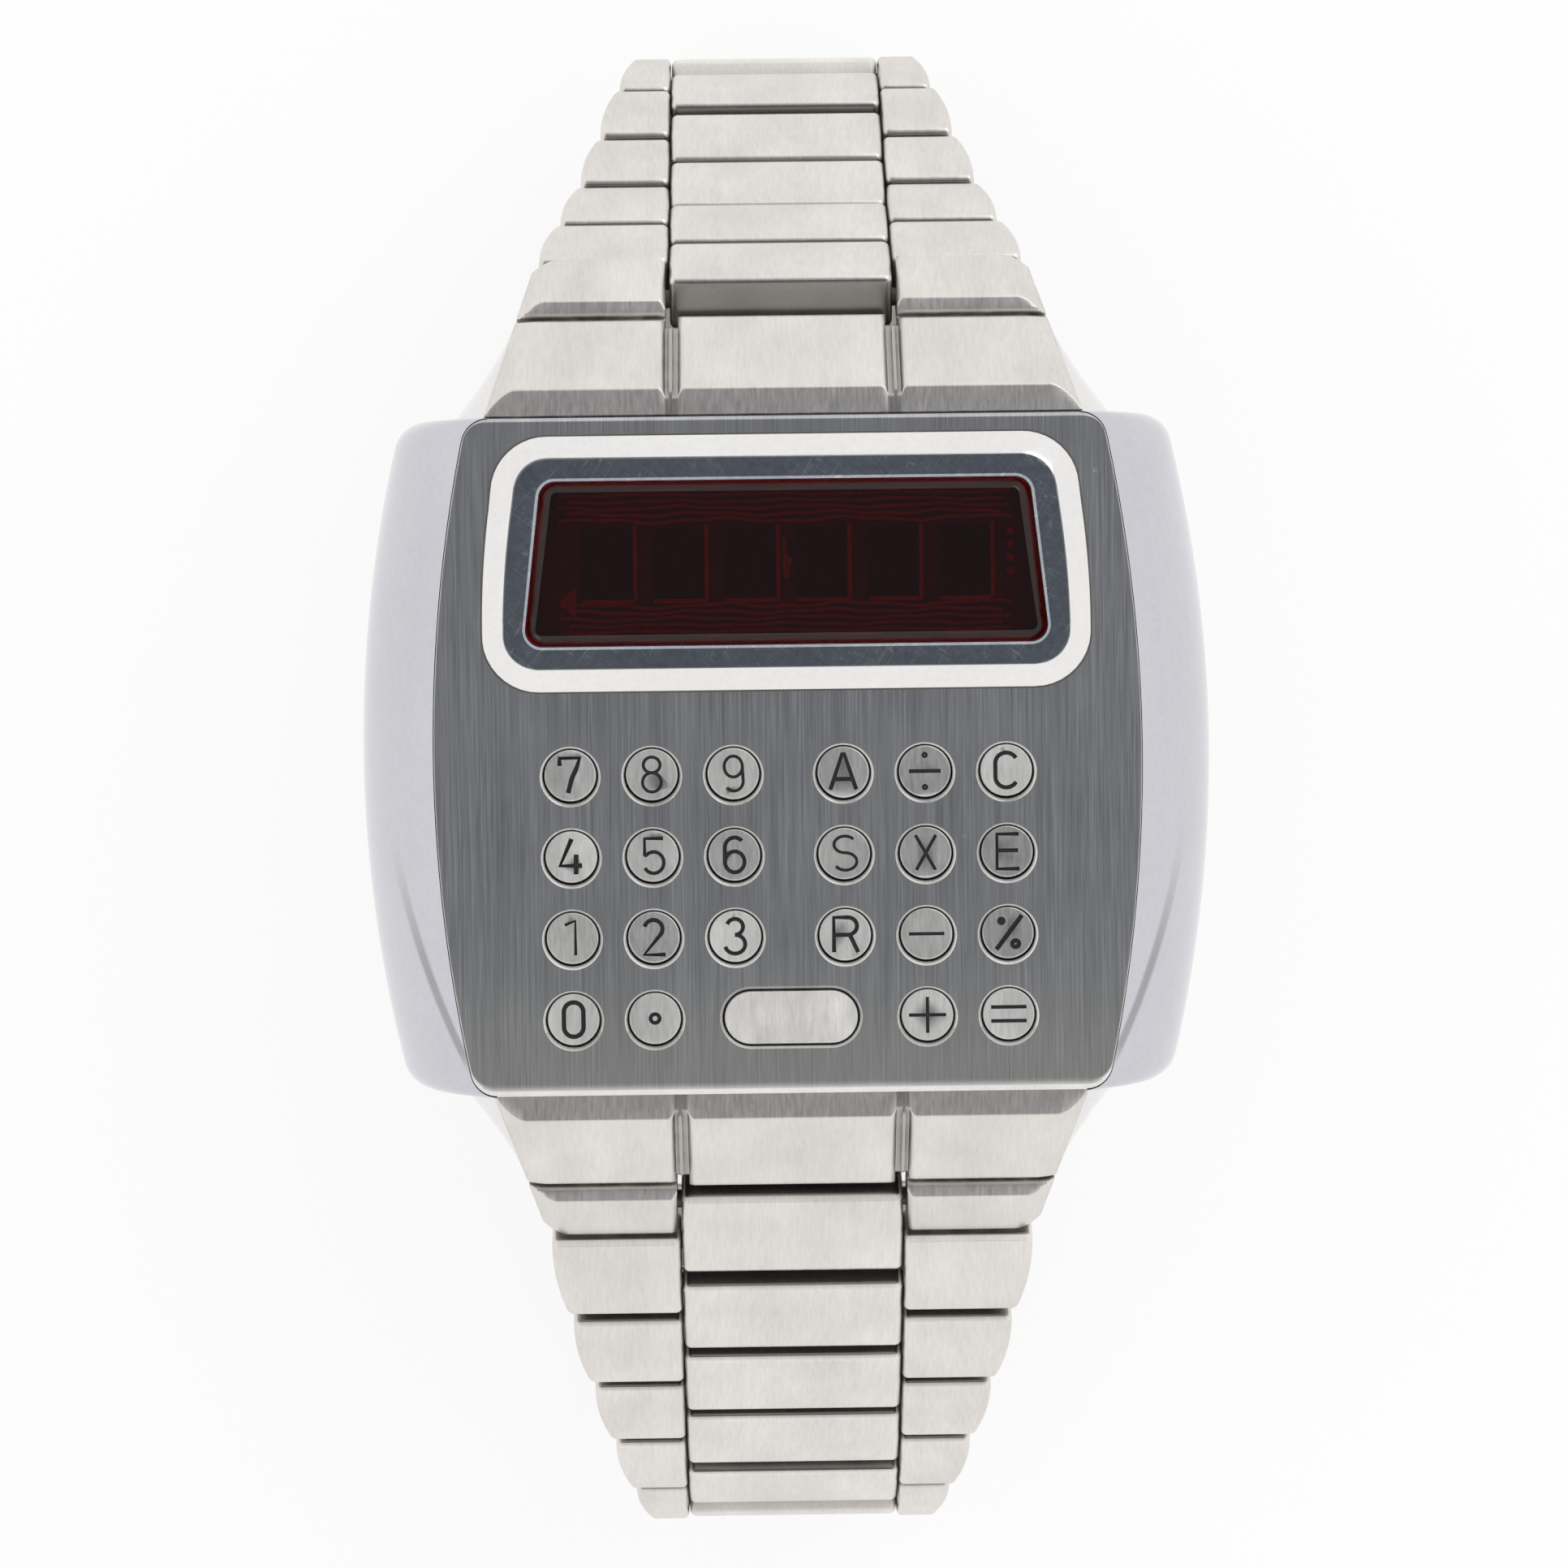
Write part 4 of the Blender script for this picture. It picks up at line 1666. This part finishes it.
def add_floor(scene):
    """A pale floor that looks evenly lit, and is clear from below."""
    reach = 3.0
    corners = [(-reach, -reach, 0), (reach, -reach, 0), (reach, reach, 0), (-reach, reach, 0)]
    mesh = bpy.data.meshes.new("floor")
    mesh.from_pydata(corners, [], [(0, 1, 2, 3)])
    pale, web, shader = blank_material("studio_floor")
    tone = web.noise(web.place(), 30.0)
    web.feed(shader.inputs["Base Color"], web.tint(
        web.fit(tone, 0.3, 0.7, 0.0, 0.03), rgba(scene.watch_finishes.floor), (0.8, 0.8, 0.8, 1)))
    shader.inputs["Roughness"].default_value = 0.9
    glow = web.add("ShaderNodeEmission", {"Color": (1, 1, 1, 1), "Strength": 1.0}).outputs[0]
    path = web.add("ShaderNodeLightPath").outputs
    seen = web.maths("MAXIMUM", path["Is Camera Ray"], web.maths(
        "MAXIMUM", path["Is Glossy Ray"], path["Is Transmission Ray"]))
    mixed = web.add("ShaderNodeMixShader", {0: web.times(seen, 0.8), 1: shader.outputs[0], 2: glow})
    clear = web.add("ShaderNodeBsdfTransparent").outputs[0]
    behind = web.add("ShaderNodeNewGeometry").outputs["Backfacing"]
    final = web.add("ShaderNodeMixShader", {0: behind, 1: mixed.outputs[0], 2: clear})
    web.feed(pale.node_tree.nodes["Material Output"].inputs["Surface"], final.outputs[0])
    floor = new_object("floor", mesh, pale)


def add_sky(scene):
    """White surroundings with a dark patch around the camera that only reflections show."""
    settings = scene.watch_stage
    world = bpy.data.worlds.new("studio")
    scene.world = world
    world.use_nodes = True
    web = Web(world.node_tree)
    sky = world.node_tree.nodes["Background"]
    ray = web.add("ShaderNodeTexCoord").outputs["Generated"]
    centre = (0, math.sin(settings.lean), math.cos(settings.lean))
    edge = math.cos(settings.patch)
    dark = web.fit(web.dot(ray, centre), edge - 0.12, edge + 0.08, smooth=True)
    mirrored = web.times(dark, web.add("ShaderNodeLightPath").outputs["Is Glossy Ray"])
    web.feed(sky.inputs["Color"], web.tint(mirrored, (1, 1, 1, 1), (0.17, 0.18, 0.195, 1)))
    sky.inputs["Strength"].default_value = 1.0


def add_lamp(scene):
    """A soft lamp from the upper right, aimed at the dial."""
    lamp = bpy.data.lights.new("soft_lamp", "AREA")
    lamp.energy = 1.2
    lamp.size = 0.6
    holder = bpy.data.objects.new("soft_lamp", lamp)
    holder.location = (0.35, 0.5, 0.6)
    aim = Vector((0, 0, DIAL)) - holder.location
    holder.rotation_euler = aim.to_track_quat("-Z", "Y").to_euler()
    scene.collection.objects.link(holder)


def add_camera(scene):
    """The camera, nearly straight above the dial."""
    settings = scene.watch_stage
    lens = bpy.data.cameras.new("camera")
    lens.lens = settings.lens
    lens.sensor_width = 36
    lens.clip_start, lens.clip_end = 0.01, 20
    camera = bpy.data.objects.new("camera", lens)
    lean = settings.tilt
    sight = Vector((0, -math.sin(lean), -math.cos(lean)))
    upward = Vector((0, math.cos(lean), -math.sin(lean)))
    spot = -sight * settings.distance - upward * settings.aim - Vector((settings.side, 0, 0))
    turn = Matrix((Vector((1, 0, 0)), upward, -sight)).transposed().to_4x4()
    placed = Matrix.Translation((0, 0, DIAL)) @ Matrix.Rotation(-settings.yaw, 4, "Y")
    rolled = Matrix.Rotation(settings.roll, 4, "Z")
    camera.matrix_world = placed @ Matrix.Translation(spot) @ turn @ rolled
    scene.collection.objects.link(camera)
    scene.camera = camera


class WATCH_OT_stage(bpy.types.Operator):
    """Build the floor, the light and the camera"""
    bl_idname = "watch.stage"
    bl_label = "Studio"

    def execute(self, context):
        """Builds the studio."""
        scene = context.scene
        scene.view_settings.view_transform = "Standard"
        add_floor(scene)
        add_sky(scene)
        add_lamp(scene)
        add_camera(scene)
        return {"FINISHED"}


OPERATORS = (
    WATCH_OT_case, WATCH_OT_face_plate, WATCH_OT_window, WATCH_OT_display, WATCH_OT_keys,
    WATCH_OT_bracelet, WATCH_OT_end_links, WATCH_OT_inside, WATCH_OT_stage,
)
GROUPS = {
    "watch_case": WatchCaseSizes, "watch_keys": WatchKeySizes, "watch_links": WatchLinkSizes,
    "watch_finishes": WatchFinishes, "watch_stage": WatchStage,
}


class WATCH_PT_panel(bpy.types.Panel):
    """Sizes, colours and builders of the watch"""
    bl_label = "Calculator Wristwatch"
    bl_idname = "WATCH_PT_panel"
    bl_space_type = "VIEW_3D"
    bl_region_type = "UI"
    bl_category = "Watch"

    def draw(self, context):
        """Lists the builders and the settings."""
        for operator in OPERATORS:
            self.layout.operator(operator.bl_idname)
        for name in GROUPS:
            box = self.layout.box()
            settings = getattr(context.scene, name)
            for setting in settings.bl_rna.properties.keys():
                if setting not in ("rna_type", "name"):
                    box.prop(settings, setting)


def register():
    """Adds the settings, builders and panel."""
    for name, kind in GROUPS.items():
        bpy.utils.register_class(kind)
        setattr(bpy.types.Scene, name, PointerProperty(type=kind))
    for kind in OPERATORS + (WATCH_PT_panel,):
        bpy.utils.register_class(kind)


def unregister():
    """Removes the panel, builders and settings."""
    for kind in reversed(OPERATORS + (WATCH_PT_panel,)):
        bpy.utils.unregister_class(kind)
    for name, kind in GROUPS.items():
        delattr(bpy.types.Scene, name)
        bpy.utils.unregister_class(kind)


def main():
    """Builds everything."""
    register()
    for operator in OPERATORS:
        area, name = operator.bl_idname.split(".")
        getattr(getattr(bpy.ops, area), name)()


if __name__ == "__main__":
    main()
